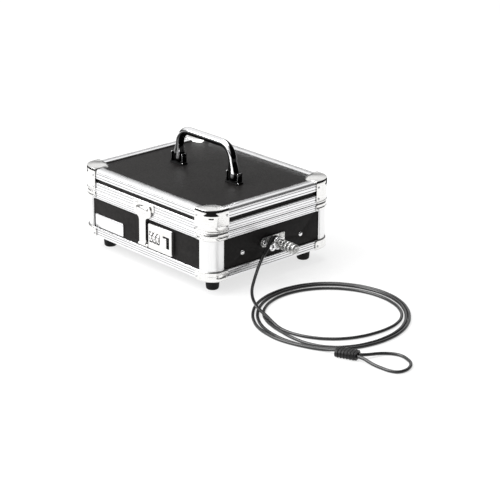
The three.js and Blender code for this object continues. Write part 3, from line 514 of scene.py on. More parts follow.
def tube_faces(rings, sides):
    """The faces of a tube stored ring by ring, with a cap on each end."""
    last = (rings - 1) * sides
    caps = [tuple(range(sides)), tuple(range(last + sides - 1, last - 1, -1))]
    return grid_faces(rings, sides, close_columns=True) + caps


def joined(*parts):
    """Several bmeshes as one."""
    whole = bmesh.new()
    for part in parts:
        mesh = bpy.data.meshes.new("part")
        part.to_mesh(mesh)
        part.free()
        whole.from_mesh(mesh)
        bpy.data.meshes.remove(mesh)
    return whole


def thickened(bm, thickness):
    """An open sheet as a closed shell, thickened inwards by millimetres."""
    bmesh.ops.recalc_face_normals(bm, faces=bm.faces)
    bmesh.ops.solidify(bm, geom=bm.faces[:], thickness=thickness / 1000)
    return bm


def bevel_sharp(bm, width, segments=2):
    """Rounds every edge where two faces meet at more than 30 degrees."""
    edges = [e for e in bm.edges if len(e.link_faces) == 2 and e.calc_face_angle(0) > math.radians(30)]
    offset = width / 1000
    bmesh.ops.bevel(
        bm, geom=edges, offset=offset, segments=segments, profile=0.5, clamp_overlap=True, affect="EDGES"
    )


def prism(outline, depth, to_space, bevel=0.0, segments=2):
    """A closed outline with thickness. to_space turns (u, v, w) into a point of the row frame."""
    vertices = [to_space(u, v, w) for w in (0, depth) for u, v in outline]
    bm = bmesh_of(vertices, tube_faces(2, len(outline)))
    bmesh.ops.recalc_face_normals(bm, faces=bm.faces)
    if bevel:
        bevel_sharp(bm, bevel, segments)
    return bm


def circle(steps):
    """The cosine and sine of evenly spaced angles, once round."""
    angles = [2 * math.pi * i / steps for i in range(steps)]
    return [(math.cos(angle), math.sin(angle)) for angle in angles]


def turned(profile, to_space, steps=40):
    """A solid of revolution with flat ends. Each profile point is (along, radius)."""
    vertices = []
    for along, radius in profile:
        vertices += [to_space(along, radius * across, radius * up) for across, up in circle(steps)]
    return bmesh_of(vertices, tube_faces(len(profile), steps))


def round_ring(profile, to_space, steps=48):
    """A ring whose section is the closed profile of (along, radius) points."""
    vertices = []
    for across, up in circle(steps):
        vertices += [to_space(along, radius * across, radius * up) for along, radius in profile]
    return bmesh_of(vertices, grid_faces(steps, len(profile), close_rows=True, close_columns=True))


def ring_line(outline, radius, to_space, sides=8):
    """A thin round line along a closed outline. to_space turns (u, v, w) into a point of the row frame."""
    count = len(outline)
    middle = sum((Vector(point) for point in outline), Vector((0, 0))) / count
    vertices = []
    for u, v in outline:
        out = (Vector((u, v)) - middle).normalized()
        for across, up in circle(sides):
            reach = radius * across
            vertices.append(to_space(u + out.x * reach, v + out.y * reach, radius * up))
    return bmesh_of(vertices, grid_faces(count, sides, close_rows=True, close_columns=True))


def along_x(y, z):
    """Turns (along, across, up) into a point on an axis along X through (y, z)."""
    return lambda along, across, up: (along, y + across, z + up)


def along_z(x, y):
    """The same for an axis along Z through (x, y)."""
    return lambda along, across, up: (x + across, y + up, along)


def arc(centre_u, centre_v, radius, start, end, steps):
    """Points on an arc from one angle to another, in degrees."""
    angles = [math.radians(start + (end - start) * i / steps) for i in range(steps + 1)]
    return [(centre_u + radius * math.cos(a), centre_v + radius * math.sin(a)) for a in angles]


def rounded_rectangle(u0, u1, v0, v1, radius, steps=6):
    """An outline, counterclockwise from the right."""
    points = []
    corners = [(u1 - radius, v1 - radius), (u0 + radius, v1 - radius)]
    corners += [(u0 + radius, v0 + radius), (u1 - radius, v0 + radius)]
    for quarter, (u, v) in enumerate(corners):
        points += arc(u, v, radius, 90 * quarter, 90 * quarter + 90, steps)
    return points


def refined(node, body, material, bevel, slot=None):
    """A CAD node's own shape with rounded edges, as a piece that stands for it."""
    bm = bmesh.new()
    bm.from_mesh(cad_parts[node].data)
    bmesh.ops.remove_doubles(bm, verts=bm.verts, dist=1e-6)
    bmesh.ops.dissolve_limit(bm, angle_limit=math.radians(1), verts=bm.verts, edges=bm.edges)
    bevel_sharp(bm, bevel)
    return place(node + "_finished", bm, body, material, node, slot=slot)


# ---------- The cable ----------


def smooth_between(values, position):
    """The value at a fractional position in a list, on a smooth curve through its values."""
    i = min(int(position), len(values) - 2)
    t = position - i
    before = values[max(i - 1, 0)]
    start, end = values[i], values[i + 1]
    after = values[min(i + 2, len(values) - 1)]
    slope_in, slope_out = (end - before) / 2, (after - start) / 2
    rise = end - start
    square = 3 * rise - 2 * slope_in - slope_out
    cube = slope_in + slope_out - 2 * rise
    return start + t * (slope_in + t * (square + t * cube))


def coil_points(per_eighth=3):
    """The coil's turns on the floor, counterclockwise from the front."""
    count = (len(COIL_RADII) - 1) * per_eighth
    points = []
    for i in range(count + 1):
        angle = -math.pi / 2 + i * (math.pi / 4) / per_eighth
        radius = smooth_between(COIL_RADII, i / per_eighth)
        x = COIL_CENTRE.x + radius * math.cos(angle)
        points.append((x, COIL_CENTRE.y + radius * math.sin(angle), CABLE_R + 0.1))
    return points


def make_cable():
    """The whole cable as one curve: drop, coil and eye."""
    curve = bpy.data.curves.new("cable", "CURVE")
    curve.dimensions = "3D"
    curve.bevel_depth = CABLE_R / 1000
    curve.bevel_resolution = 5
    curve.resolution_u = 5
    curve.use_fill_caps = True
    points = DROP_POINTS + coil_points() + EYE_POINTS
    spline = curve.splines.new("BEZIER")
    spline.bezier_points.add(len(points) - 1)
    for bezier_point, point in zip(spline.bezier_points, points):
        bezier_point.co = Vector(point) / 1000
        bezier_point.handle_left_type = bezier_point.handle_right_type = "AUTO"
    cable = new_object("cable", curve)
    curve.materials.append(MATERIALS["cable_coat"])
    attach(cable, "base")
    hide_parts("cable_drop", "cable_coil", "cable_eye")
    return cable


def make_sleeve_ribs():
    """Moulded ribs round the crimp sleeve, flattened where they lie on the floor."""
    middle, turn = Vector((361, -102.8, 5)), 0.4
    along = Vector((math.cos(turn), math.sin(turn), 0))
    across = Vector((-math.sin(turn), math.cos(turn), 0))
    floor = 0.1 - middle.z
    half_width, half_height = 8.2, 4.9
    outline = arc(half_width - half_height, 0, half_height, -90, 90, 12)
    outline += arc(half_height - half_width, 0, half_height, 90, 270, 12)
    count, pitch = 6, 3.8
    ribs = []
    for i in range(count):
        start = middle + along * pitch * (i - (count - 1) / 2)

        def to_space(u, v, w):
            return start + along * w + across * u + Vector((0, 0, max(v, floor)))

        ribs.append(ring_line(outline, 0.7, to_space))
    place("crimp_sleeve_ribs", joined(*ribs), "base", "black_plastic")


# ---------- Panels, extrusions, posts and feet ----------


def make_shell():
    """The laminated panels and the tray."""
    for node in ("floor_panel", "front_wall", "back_wall", "left_wall", "right_wall"):
        refined(node, "base", "laminate", 0.3)
    refined("lid_panel", "lid", "laminate", 0.3)
    refined("coin_tray", "base", "black_plastic", 0.6)


def round_the_case(section, corner_steps=14):
    """A section carried round the case. Each point is (inset from the outer face, z), and a 1 in a groove."""
    vertices = []
    for corner, (side_x, side_y) in enumerate([(1, 1), (-1, 1), (-1, -1), (1, -1)]):
        centre_x, centre_y = side_x * (CASE.x - CASE_R), side_y * (CASE.y - CASE_R)
        for step in range(corner_steps + 1):
            angle = (corner + step / corner_steps) * math.pi / 2
            for inset, z, *groove in section:
                reach = CASE_R - inset
                vertices.append((centre_x + reach * math.cos(angle), centre_y + reach * math.sin(angle), z))
    stations = 4 * (corner_steps + 1)
    return bmesh_of(vertices, grid_faces(stations, len(section), close_rows=True, close_columns=True))


def grooved(z0, z1, count, width=0.9, depth=0.55):
    """An outer face with grooves spaced evenly up it, as (inset, z) points, with a 1 in the grooves."""
    points = []
    pitch = (z1 - z0) / count
    for i in range(count):
        middle = z0 + (i + 0.5) * pitch
        points += [(0, middle - width / 2, 1), (depth, middle - width / 4, 1)]
        points += [(depth, middle + width / 4, 1), (0, middle + width / 2, 1), (0, middle + width / 2 + 0.01)]
    return points


def make_extrusions():
    """The four aluminium rings round the case, and the black band between the lid's two."""
    bottom = [(LEAF, BOTTOM), (2.6, BOTTOM), (1, BOTTOM + 0.6), (0.2, BOTTOM + 2)]
    bottom += grooved(BOTTOM + 2.6, CASE.z - 1.4, 3)
    bottom += [(0, CASE.z - 0.8), (0.5, CASE.z), (SKIN, CASE.z), (SKIN, BOTTOM + SKIN), (LEAF, BOTTOM + SKIN)]
    add_ring("bottom_edge_ribbed", bottom, "base", "aluminium", "bottom_edge")

    inner = 9.3
    base_rim = [(inner, RIM_HIGH), (inner, RIM_LOW + 1), (inner - 1, RIM_LOW + 1)]
    base_rim += [(inner - 1, RIM_HIGH - 2.8), (SKIN, RIM_HIGH - 2.8), (SKIN, RIM_LOW)]
    base_rim += [(0.5, RIM_LOW), (0, RIM_LOW + 0.6)]
    base_rim += grooved(RIM_LOW + 0.8, RIM_HIGH - 0.8, 3, 0.7, 0.4)
    base_rim += [(0, RIM_HIGH - 0.6), (0.5, RIM_HIGH)]
    add_ring("base_rim_ribbed", base_rim, "base", "aluminium", "base_rim")

    lid_rim = [(inner, LID_RIM_LOW), (0.5, LID_RIM_LOW), (0, LID_RIM_LOW + 0.6)]
    lid_rim += grooved(LID_RIM_LOW + 0.8, LID_RIM_HIGH - 1.2, 3, 0.7, 0.4)
    lid_rim += [(0, LID_RIM_HIGH - 0.8), (0.6, LID_RIM_HIGH), (SKIN, LID_RIM_HIGH), (SKIN, LID_RIM_LOW + 2.8)]
    lid_rim += [(inner - 1, LID_RIM_LOW + 2.8), (inner - 1, LID_RIM_HIGH - 1), (inner, LID_RIM_HIGH - 1)]
    add_ring("lid_rim_ribbed", lid_rim, "lid", "aluminium", "lid_rim")

    lid_edge = [(SKIN, EDGE_LOW), (0.5, EDGE_LOW), (0, EDGE_LOW + 0.6)]
    lid_edge += grooved(EDGE_LOW + 1, EDGE_HIGH - 3.2, 2)
    lid_edge += [(0.2, EDGE_HIGH - 2.6), (0.9, EDGE_HIGH - 1.2), (1.9, EDGE_HIGH - 0.4), (3.2, EDGE_HIGH)]
    lid_edge += [(6.4, EDGE_HIGH, 1), (6.7, EDGE_HIGH - 0.4, 1)]
    lid_edge += [(7.2, EDGE_HIGH - 0.4, 1), (7.5, EDGE_HIGH, 1)]
    lid_edge += [(LEAF - 0.8, EDGE_HIGH), (LEAF - 0.2, EDGE_HIGH - 0.4), (LEAF, EDGE_HIGH - SKIN)]
    lid_edge += [(SKIN, EDGE_HIGH - SKIN)]
    add_ring("lid_edge_ribbed", lid_edge, "lid", "aluminium", "lid_edge")

    low, high = (corner.z for corner in box("lid_side"))
    lid_side = [(2, low), (2, high), (7, high), (7, low)]
    add_ring("lid_side_laminate", lid_side, "lid", "laminate", "lid_side")


def add_ring(name, section, body, material, node):
    """A ring of the section. The grooves of an aluminium one get the dull, dark painted shade."""
    obj = place(name, round_the_case(section), body, material, node)
    if material == "aluminium":
        obj.data.materials.append(MATERIALS["groove_aluminium"])
        for i, face in enumerate(obj.data.polygons):
            first, second = section[i % len(section)], section[(i + 1) % len(section)]
            face.material_index = int(len(first) > 2 and len(second) > 2)


def make_corner_posts():
    """Rounded posts with a raised centre and a thin lip along each leaf."""
    for place_name, (side_x, side_y) in CORNERS.items():
        node = "corner_post_" + place_name
        low, high = box(node)
        face = Vector((CASE.x - 0.4, CASE.y - 0.4))
        centre = Vector((CASE.x - CASE_R, CASE.y - CASE_R))
        back = Vector((WALL_FACE_X + 0.3, WALL_FACE_Y + 0.3))
        wall_back = Vector((WALL_FACE_X - 6, WALL_FACE_Y - 6))
        end = Vector((CASE.x - 22.5, CASE.y - 22.5))
        lip, step = 2.2, 0.7
        outline = [(face.x, centre.y - 0.1)]
        outline += arc(centre.x, centre.y, CASE_R - 0.4, 0, 90, 18)[1:-1]
        outline += [(centre.x - 0.1, face.y), (end.x + lip + step, face.y), (end.x + lip, face.y - step)]
        outline += [(end.x, face.y - step), (end.x, back.y), (centre.x - 0.3, back.y)]
        outline += [(centre.x - 0.3, wall_back.y), (wall_back.x, wall_back.y), (wall_back.x, centre.y - 0.3)]
        outline += [(back.x, centre.y - 0.3), (back.x, end.y), (face.x - step, end.y)]
        outline += [(face.x - step, end.y + lip), (face.x, end.y + lip + step)]
        bm = prism(outline, high.z - low.z, lambda u, v, w: (side_x * u, side_y * v, low.z + w))
        place(node + "_satin", bm, "base", "post_aluminium", node, slot="aluminium", sharp_angle=25)


def make_feet():
    """Tapered feet with a hollow for their screw and a collar at the top."""
    for corner in CORNERS:
        node = "foot_" + corner
        low, high = box(node)
        centre = (low + high) / 2
        radius = (high.x - low.x) / 2
        top = high.z
        profile = [(0.8, 2.2), (0.8, 4.4), (0.1, 4.8)]
        profile += [(0, radius - 3.4), (0.3, radius - 2.3), (1, radius - 1.6), (2.4, radius - 1.1)]
        profile += [(top - 7.5, radius - 0.4), (top - 7, radius), (top, radius)]
        foot = turned(profile, along_z(centre.x, centre.y))
        place(node + "_moulded", foot, "base", "rubber", node)


# ---------- Corner guards ----------


def corner_stations(reach, leg_steps=8, arc_steps=16):
    """Places along a corner's outside as (x, y, out_x, out_y, distance to the nearer leg end)."""
    centre = Vector((CASE.x - CASE_R, CASE.y - CASE_R))
    straight = reach - CASE_R
    stations = []
    for i in range(leg_steps):
        along = straight * i / leg_steps
        stations.append((CASE.x, CASE.y - reach + along, 1.0, 0.0, along))
    for i in range(arc_steps + 1):
        angle = math.pi / 2 * i / arc_steps
        out_x, out_y = math.cos(angle), math.sin(angle)
        turn = CASE_R * min(angle, math.pi / 2 - angle)
        stations.append((centre.x + CASE_R * out_x, centre.y + CASE_R * out_y, out_x, out_y, straight + turn))
    for i in range(leg_steps - 1, -1, -1):
        along = straight * i / leg_steps
        stations.append((CASE.x - reach + along, CASE.y, 0.0, 1.0, along))
    return stations


def cornerness(out_x, out_y):
    """From 0 on a flat leg to 1 in the middle of the corner."""
    return (2 * abs(out_x * out_y)) ** 1.5


def leaf_outline(reach, tip_r, count):
    """The inner edge of a guard's leaf, from the side leg's end to the long leg's end, evenly spaced."""
    low = Vector((CASE.x - reach, CASE.y - reach))
    path = [(CASE.x, low.y)] + arc(low.x + tip_r, low.y + tip_r, tip_r, 270, 180, 12) + [(low.x, CASE.y)]
    path = [Vector(p) for p in path]
    lengths = [(b - a).length for a, b in zip(path, path[1:])]
    total = sum(lengths)
    points = []
    for i in range(count):
        remaining = total * i / (count - 1)
        k = 0
        while k < len(lengths) - 1 and remaining > lengths[k]:
            remaining -= lengths[k]
            k += 1
        points.append(path[k].lerp(path[k + 1], min(1, remaining / lengths[k])))
    return points


def end_trim(to_end, round_r):
    """How much of a leg's height is rounded off at a distance from the leg's end."""
    inside = max(0.0, round_r - to_end)
    return round_r - math.sqrt(round_r**2 - inside**2)


def guard_band(profile, round_r):
    """A sheet round the corner, with round leg ends.

    Each profile point is (offset, z, swell), and swell adds to the offset at the corner.
    """
    stations = corner_stations(GUARD_REACH)
    z_low, z_high = profile[0][1], profile[-1][1]
    middle = (z_low + z_high) / 2
    vertices = []
    for x, y, out_x, out_y, to_end in stations:
        shrink = 1 - end_trim(to_end, round_r) / ((z_high - z_low) / 2)
        for offset, z, swell in profile:
            out = offset + swell * cornerness(out_x, out_y)
            vertices.append((x + out * out_x, y + out * out_y, middle + (z - middle) * shrink))
    return vertices, grid_faces(len(stations), len(profile))


def mirrored(vertices, side_x, side_y):
    """A corner's vertices moved to the corner with those signs."""
    return [(side_x * x, side_y * y, z) for x, y, z in vertices]


def rivet(x, y, z, out_x, out_y, radius=1.7, height=0.9):
    """A domed rivet head that faces out sideways."""
    normal = Vector((out_x, out_y, 0))
    side = Vector((-out_y, out_x, 0))
    up = Vector((0, 0, 1))
    base = Vector((x, y, z))
    sunk, rim = -0.3, 0.1
    profile = [(sunk, radius), (rim, radius)]
    profile += [(rim + height * math.sin(a), radius * math.cos(a)) for a in (0.35, 0.7, 1.05, 1.35)]
    return turned(profile, lambda along, u, v: base + normal * along + side * u + up * v, 16)


def guard_rivets(side_x, side_y, heights, from_end=3.6, offset=1.3):
    """One rivet near each leg end at each height."""
    parts = []
    for z in heights:
        x, y = side_x * (CASE.x - GUARD_REACH + from_end), side_y * (CASE.y + offset)
        parts.append(rivet(x, y, z, 0, side_y))
        x, y = side_x * (CASE.x + offset), side_y * (CASE.y - GUARD_REACH + from_end)
        parts.append(rivet(x, y, z, side_x, 0))
    return joined(*parts)


def lid_guard_sheet():
    """The lid guard's outer surface: a beaded foot, two legs, an overhanging lip and a crowned leaf."""
    low, top = LID_RIM_LOW + 0.3, LID_GUARD_TOP
    band = [(1.0, low, 0), (1.6, low + 0.5, 0.2), (1.6, low + 1.7, 0.2)]
    band += [(0.8, low + 2.3, 0), (0.8, low + 2.8, 0)]
    band += [(1.3, low + 3.4, 0.2), (1.3, low + 9, 0.3), (1.3, low + 16, 0.3), (1.3, top - 8.4, 0.1)]
    band += [(1.3, top - 6.2, 0), (1.2, top - 3.4, 0), (0.9, top - 2.6, 0), (-0.2, top - 2.4, 0)]
    band += [(-0.2, top - 1.3, 0), (0.9, top - 1.1, 0.1), (1.2, top - 0.7, 0.2), (0.9, top - 0.1, 0.1)]
    stations = corner_stations(GUARD_REACH)
    round_r = 4
    inner_edge = leaf_outline(GUARD_REACH, 14, len(stations))
    leaf_shares = [0.12, 0.3, 0.5, 0.7, 0.85, 0.95, 1.0]
    vertices = []
    for (x, y, out_x, out_y, to_end), tip in zip(stations, inner_edge):
        trim = end_trim(to_end, round_r)
        swell_share = cornerness(out_x, out_y)
        for offset, z, swell in band:
            out = offset + swell * swell_share
            lifted = max(z, low + trim) if z < low + round_r + 1 else z
            vertices.append((x + out * out_x, y + out * out_y, lifted))
        edge = Vector((x + 0.9 * out_x, y + 0.9 * out_y))
        depth = min(CASE.x - tip.x, CASE.y - tip.y)
        rest = EDGE_HIGH + 0.1 if depth < LEAF else PANEL_TOP + 0.2
        for share in leaf_shares:
            point = edge.lerp(tip, share)
            crown = top + 0.6 * swell_share * math.sin(math.pi * share)
            z = crown + (rest - crown) * max(0.0, (share - 0.8) / 0.2) ** 2
            vertices.append((point.x, point.y, z))
    return vertices, grid_faces(len(stations), len(band) + len(leaf_shares))


def make_guards():
    """The pressed corner guards on the lid, on the base's rim and at the bottom."""
    rim = [(0.9, RIM_LOW + 0.4, 0), (1.3, RIM_LOW + 0.9, 0), (1.3, RIM_LOW + 4.2, 0.2)]
    rim += [(0.8, RIM_LOW + 4.7, 0), (0.8, RIM_LOW + 5.1, 0), (1.3, RIM_LOW + 5.6, 0.2)]
    rim += [(1.3, RIM_HIGH - 0.7, 0), (0.9, RIM_HIGH - 0.3, 0)]
    bottom = [(-2.5, BOTTOM - 0.9, 0), (-0.6, BOTTOM - 0.8, 0), (0.7, BOTTOM + 0.2, 0.3)]
    bottom += [(1.3, BOTTOM + 1.6, 0.5), (1.4, BOTTOM + 4, 0.5), (1.3, BOTTOM + 7, 0.2)]
    bottom += [(1.1, BOTTOM + 8.6, 0), (1.1, BOTTOM + 9.4, 0), (1.3, BOTTOM + 10.4, 0.1)]
    bottom += [(1.3, CASE.z - 0.6, 0.1), (0.9, CASE.z - 0.1, 0)]
    for corner in CORNERS:
        add_guard("lid_guard_", corner, lid_guard_sheet(), "lid", [LID_RIM_LOW + 6.5, EDGE_LOW + 5])
        add_guard("rim_guard_", corner, guard_band(rim, 2.5), "base", [RIM_LOW + 2.6])
        add_guard("bottom_guard_", corner, guard_band(bottom, 3), "base", [BOTTOM + 5])


def add_guard(kind, corner, sheet, body, rivet_heights):
    """A guard pressed from the sheet, and its rivets."""
    node = kind + corner
    side_x, side_y = CORNERS[corner]
    vertices, faces = sheet
    shell = thickened(bmesh_of(mirrored(vertices, side_x, side_y), faces), 0.7)
    place(node + "_pressed", shell, body, "nickel", node, sharp_angle=50)
    rivets = guard_rivets(side_x, side_y, rivet_heights)
    place(node + "_rivets", rivets, body, "steel", slot="nickel")


def on_corner(side_x, side_y, radius):
    """Turns (degrees from the corner's middle, z) into a point round one corner of the case."""

    def to_space(turn, z):
        angle = math.radians(45 + turn)
        x = CASE.x - CASE_R + radius * math.cos(angle)
        return side_x * x, side_y * (CASE.y - CASE_R + radius * math.sin(angle)), z

    return to_space


def corner_patch(rows, to_space, columns=18):
    """A thin patch of painted shade that follows a corner. Each row is (z, half its width in degrees)."""
    turns = [2 * i / (columns - 1) - 1 for i in range(columns)]
    vertices = [to_space(half * turn, z) for z, half in rows for turn in turns]
    return thickened(bmesh_of(vertices, grid_faces(len(rows), columns)), 0.4)


def make_guard_gaps():
    """Painted shade: thin black pieces where the gap, notch and crease under each lid guard's lip fall into
    shade.
    """
    low, high = LID_GUARD_TOP - 8, LID_GUARD_TOP - 1.2
    gap = [(low, 22), (low + 0.8, 27), (low + 2.2, 22), (low + 3.8, 16), (high, 19)]
    notch = [(low - 6.6, 2.5), (low - 5.8, 5), (low - 3, 9), (low - 2.2, 8)]
    seam = [(1.25, LID_GUARD_TOP - 2.7, 0), (1.25, LID_GUARD_TOP - 0.5, 0)]
    vertices, faces = guard_band(seam, 0.6)
    for corner, (side_x, side_y) in CORNERS.items():
        name = "lid_guard_gap_" + corner
        to_space = on_corner(side_x, side_y, CASE_R + 1.5)
        crease = thickened(bmesh_of(mirrored(vertices, side_x, side_y), faces), 0.5)
        gaps = joined(corner_patch(gap, to_space), corner_patch(notch, to_space), crease)
        place(name, gaps, "lid", "ink", slot="nickel")


# ---------- Handle ----------


def handle_path():
    """The bail's centre line as (x, z, half size across, half size along Y), from lug to lug."""
    half = HANDLE_SPAN / 2
    bar_z = HANDLE_TOP - BAR_R
    leg_top = bar_z - BEND_R
    # Each step of a leg is (share of its height, half size across, half size along Y)
    leg = [(0, 3.4, 3), (0.05, 6.4, 5), (0.15, 8.4, 6.2), (0.3, 9, 6.4), (0.5, 8.8, 5.8)]
    leg += [(0.68, 7.6, 5.4), (0.85, 6.2, BAR_R), (1, BAR_R, BAR_R)]
    left = []
    for share, across, deep in leg:
        left.append((-half + LEAN * share, HANDLE_LOW + share * (leg_top - HANDLE_LOW), across, deep))
    bend_x = -half + LEAN + BEND_R
    left += [(x, z, BAR_R, BAR_R) for x, z in arc(bend_x, leg_top, BEND_R, 180, 90, 14)[1:]]
    left += [(bend_x * (1 - i / 6), bar_z, BAR_R, BAR_R) for i in range(1, 6)]
    right = [(-x, z, across, deep) for x, z, across, deep in reversed(left)]
    return left + [(0, bar_z, BAR_R, BAR_R)] + right


def make_handle():
    """The bail: a round bar whose legs swell into flattened lugs."""
    path = handle_path()
    sides = 28
    vertices = []
    for i, (x, z, half_x, half_y) in enumerate(path):
        before, after = path[max(i - 1, 0)], path[min(i + 1, len(path) - 1)]
        run = Vector((after[0] - before[0], 0, after[1] - before[1])).normalized()
        side = Vector((run.z, 0, -run.x))
        for across, deep in circle(sides):
            out = side * half_x * across
            vertices.append((x + out.x, half_y * deep, z + out.z))
    bail = bmesh_of(vertices, tube_faces(len(path), sides))
    # The bail's chrome has its reflections painted into its colour.
    place("handle_bail", bail, "handle", "bail_chrome", "handle", slot="chrome", sharp_angle=60)


def cheek_space(middle, side, depth):
    """Turns (distance from the leg, height, depth) into a point of one cheek."""

    def to_space(u, v, w):
        return middle + side * u, w - depth / 2, v

    return to_space


def make_brackets():
    """Each leg's bracket: a dark pad on the lid, two upright cheeks with turned-out feet, and a pin."""
    pad_t, depth = 0.9, 8
    low, high = BRACKET_FLOOR + pad_t, PIVOT_Z + 5
    cheek = [(CHEEK_INNER, low), (BRACKET_HALF, low), (BRACKET_HALF, low + 1.1)]
    cheek += [(CHEEK_OUTER, low + 1.5), (CHEEK_OUTER, high), (CHEEK_INNER, high)]
    for name, side in (("left", -1), ("right", 1)):
        node = "handle_bracket_" + name
        middle = side * HANDLE_SPAN / 2
        parts = [prism(cheek, depth, cheek_space(middle, out, depth), 0.35, 3) for out in (-1, 1)]
        left, right = middle - BRACKET_HALF, middle + BRACKET_HALF
        pin = [(left, 1.4), (left + 0.5, 2), (right - 0.5, 2), (right, 1.4)]
        parts.append(turned(pin, along_x(0, PIVOT_Z), 24))
        # The cheeks and pin share the chrome with painted reflections.
        place(node + "_cheeks", joined(*parts), "lid", "bail_chrome", node, slot="chrome")
        outline = rounded_rectangle(left, right, -6.4, 6.4, 3)
        pad = prism(outline, pad_t, lambda u, v, w: (u, v, BRACKET_FLOOR + w), 0.3)
        place(node + "_pad", pad, "lid", "rubber", slot="chrome")


# ---------- Locks and fittings ----------


def make_fittings():
    """The CAD's own shapes of the small metal and plastic fittings, with rounded edges."""
    for node, body, material, bevel in [
        ("label_plate", "base", "aluminium", 0.25),
        ("lock_body", "base", "nickel", 0.3),
        ("dial_spindle", "base", "steel", 0.1),
        ("hasp_pin", "base", "steel", 0.1),
        ("hinge_base_leaf", "base", "steel", 0.15),
        ("hinge_lid_leaf", "lid", "steel", 0.15),
        ("hinge_pin", "base", "steel", 0.1),
        ("anchor_bracket", "base", "steel", 0.15),
        ("hasp", "hasp", "nickel", 0.3),
        ("catch_plate", "lid", "nickel", 0.2),
        ("crimp_sleeve", "base", "black_plastic", 0.3),
    ]:
        refined(node, body, material, bevel)
    refined("anchor_plate", "base", "speckled_nickel", 0.25, slot="nickel")
    refined("lock_head", "base", "speckled_nickel", 0.3, slot="nickel")
    for i in WHEEL_NUMBERS:
        refined(f"dial_{i}", f"dial_{i}", "nickel", 0.15)
        refined(f"lock_wheel_{i}", f"lock_wheel_{i}", "speckled_nickel", 0.1, slot="nickel")


def make_button():
    """The thumb slide, black behind the lock's face, and its spring."""
    spring = refined("button_spring", "base", "steel", 0.02)
    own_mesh(spring)
    slide = refined("slide_button", "slide_button", "nickel", 0.25)
    slide.data.materials.append(MATERIALS["ink"])
    # Painted shade: the faces behind the lock's face are coloured black, as shade in the button's recess.
    behind_face = LOCK_FACE + 0.5
    for face in slide.data.polygons:
        face.material_index = int(face.center.y * 1000 > behind_face)


def make_lock_marks():
    """Thin black pieces painted in: shade in the slots beside the dials, and a dark reflection along the oval
    line on the hasp.
    """
    slot_half = 6.4
    slots = []
    for middle in DIAL_MIDDLES:
        left, right = middle + 2.1, middle + 3.5
        low, high = DIAL_Z - slot_half, DIAL_Z + slot_half
        slot = [(left, low), (right, low), (right, high), (left, high)]
        slots.append(prism(slot, 0.3, lambda u, v, w: (u, LOCK_FACE - 0.1 + w, v)))
    place("dial_slot_painted_shade", joined(*slots), "base", "ink", slot="nickel")
    middle_z, half_width, half_height = 85.4, 10.9, 3.9
    oval = [(half_width * across, middle_z + half_height * up) for across, up in circle(40)]
    line = ring_line(oval, 0.45, lambda u, v, w: (u, LOCK_FACE + w, v))
    place("hasp_oval_painted_reflection", line, "hasp", "ink", slot="nickel")


def make_swivel():
    """A chrome ring round the cable lock's neck, the eye on its side and the black boot of the cable."""
    x0, x1, inner, outer = SWIVEL_X0, SWIVEL_X1, 5.3, 8.5
    profile = [(x0, inner), (x0, outer - 1.2), (x0 + 0.4, outer - 0.4), (x0 + 1.2, outer)]
    profile += [(x1 - 1.2, outer), (x1 - 0.4, outer - 0.4), (x1, outer - 1.2), (x1, inner)]
    ring = round_ring(profile, along_x(0, CABLE_LOCK_Z))
    half, inner, outer = 2.9, 2.2, 5.8
    x0, x1 = BOOT_X - half, BOOT_X + half
    profile = [(x0, inner), (x0, outer - 0.8), (x0 + 0.6, outer)]
    profile += [(x1 - 0.6, outer), (x1, outer - 0.8), (x1, inner)]
    eye = round_ring(profile, along_x(-8.5, CABLE_LOCK_Z - 3))
    place("cable_swivel_ring", joined(ring, eye), "base", "chrome", "cable_swivel")

    start, end = Vector((BOOT_X, -5.5, 59.4)), Vector((BOOT_X, -22, 40))
    along = (end - start).normalized()
    across = Vector((1, 0, 0))
    up = along.cross(across)
    length = (end - start).length
    thick, thin, grooves = 3.1, 2.5, 6
    profile = [(0, 1.8), (0.6, 2.9), (2, thick)]
    for i in range(1, grooves + 1):
        share = i / (grooves + 1)
        at = 2 + (length - 3) * share
        radius = thick + (thin - thick) * share
        in_groove = radius - 0.3
        profile += [(at - 0.5, radius), (at - 0.3, in_groove), (at + 0.3, in_groove), (at + 0.5, radius)]
    profile += [(length - 0.3, 2.4), (length, 2.1)]
    boot = turned(profile, lambda w, u, v: start + along * w + across * u + up * v, 24)
    place("cable_swivel_boot", boot, "base", "black_plastic")


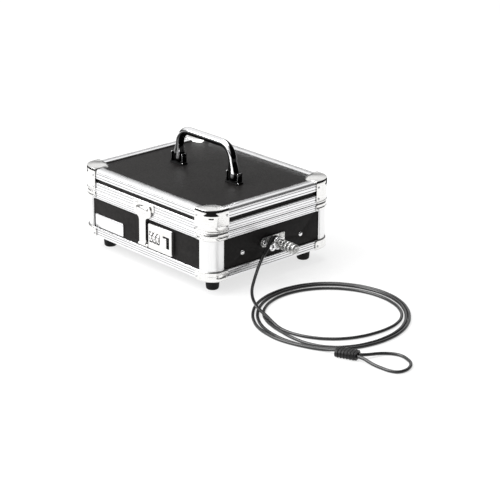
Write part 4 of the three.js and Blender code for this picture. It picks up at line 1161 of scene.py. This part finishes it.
def make_anchor_heads():
    """The screw beside the cable lock and the two rivets that hold the bracket inside the wall."""
    heads = [rivet(SIDE_FACE + 1.5, -13.6, CABLE_LOCK_Z + 0.6, 1, 0, 3.1, 1.2)]
    heads += [rivet(SIDE_FACE, y, CABLE_LOCK_Z - 3.4, 1, 0, 3.2, 1.7) for y in (-50, 50)]
    place("anchor_heads", joined(*heads), "base", "chrome", slot="steel")


def digit_shape(digit, height):
    """A digit's vertices, centred on the origin and facing +Z, and its faces."""
    curve = bpy.data.curves.new("digit", "FONT")
    curve.body = str(digit)
    curve.size = height
    curve.align_x, curve.align_y = "CENTER", "CENTER"
    curve.extrude = 0.06
    obj = new_object("digit", curve)
    mesh = bpy.data.meshes.new_from_object(obj)
    bpy.data.objects.remove(obj)
    return [tuple(vertex.co) for vertex in mesh.vertices], [tuple(face.vertices) for face in mesh.polygons]


def digits_round(middle, y, z, radius, first_turn, height):
    """Ten digits round a wheel whose middle is (middle, y, z) on an axis along X."""
    rings = []
    for digit in range(10):
        turn = math.radians(first_turn + 36 * digit)
        vertices, faces = digit_shape(digit, height)
        points = []
        for u, v, w in vertices:
            angle, reach = turn - v / radius, radius + w
            points.append((middle + u, y + reach * math.cos(angle), z + reach * math.sin(angle)))
        rings.append(bmesh_of(points, faces))
    return joined(*rings)


def make_digits():
    """Plain digits on the front lock's dials and on the cable lock's wheels."""
    raised_middle = 11  # degrees from a dial's first notch to the middle of its first raised stretch
    for i, dial_x, wheel_x in zip(WHEEL_NUMBERS, DIAL_MIDDLES, WHEEL_MIDDLES):
        dial = digits_round(dial_x, DIAL_Y, DIAL_Z, DIAL_R, raised_middle, 3.4)
        wheel = digits_round(wheel_x, 0, CABLE_LOCK_Z, CABLE_WHEEL_R, 0, 3)
        for body, digits in ((f"dial_{i}", dial), (f"lock_wheel_{i}", wheel)):
            place(body + "_digits", digits, body, "ink", slot="nickel")


def write_sizes():
    """The CAD's and the visual model's boxes, as lists of corners."""
    boxes = {"cad": cad_box, "visual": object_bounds()}
    sizes = {name: [list(corner) for corner in corners] for name, corners in boxes.items()}


make_camera()
cable = make_cable()
make_studio()
make_shell()
make_extrusions()
make_corner_posts()
make_guards()
make_feet()
make_handle()
make_brackets()
make_fittings()
make_button()
make_swivel()
make_guard_gaps()
make_lock_marks()
make_anchor_heads()
make_sleeve_ribs()
make_digits()
write_sizes()
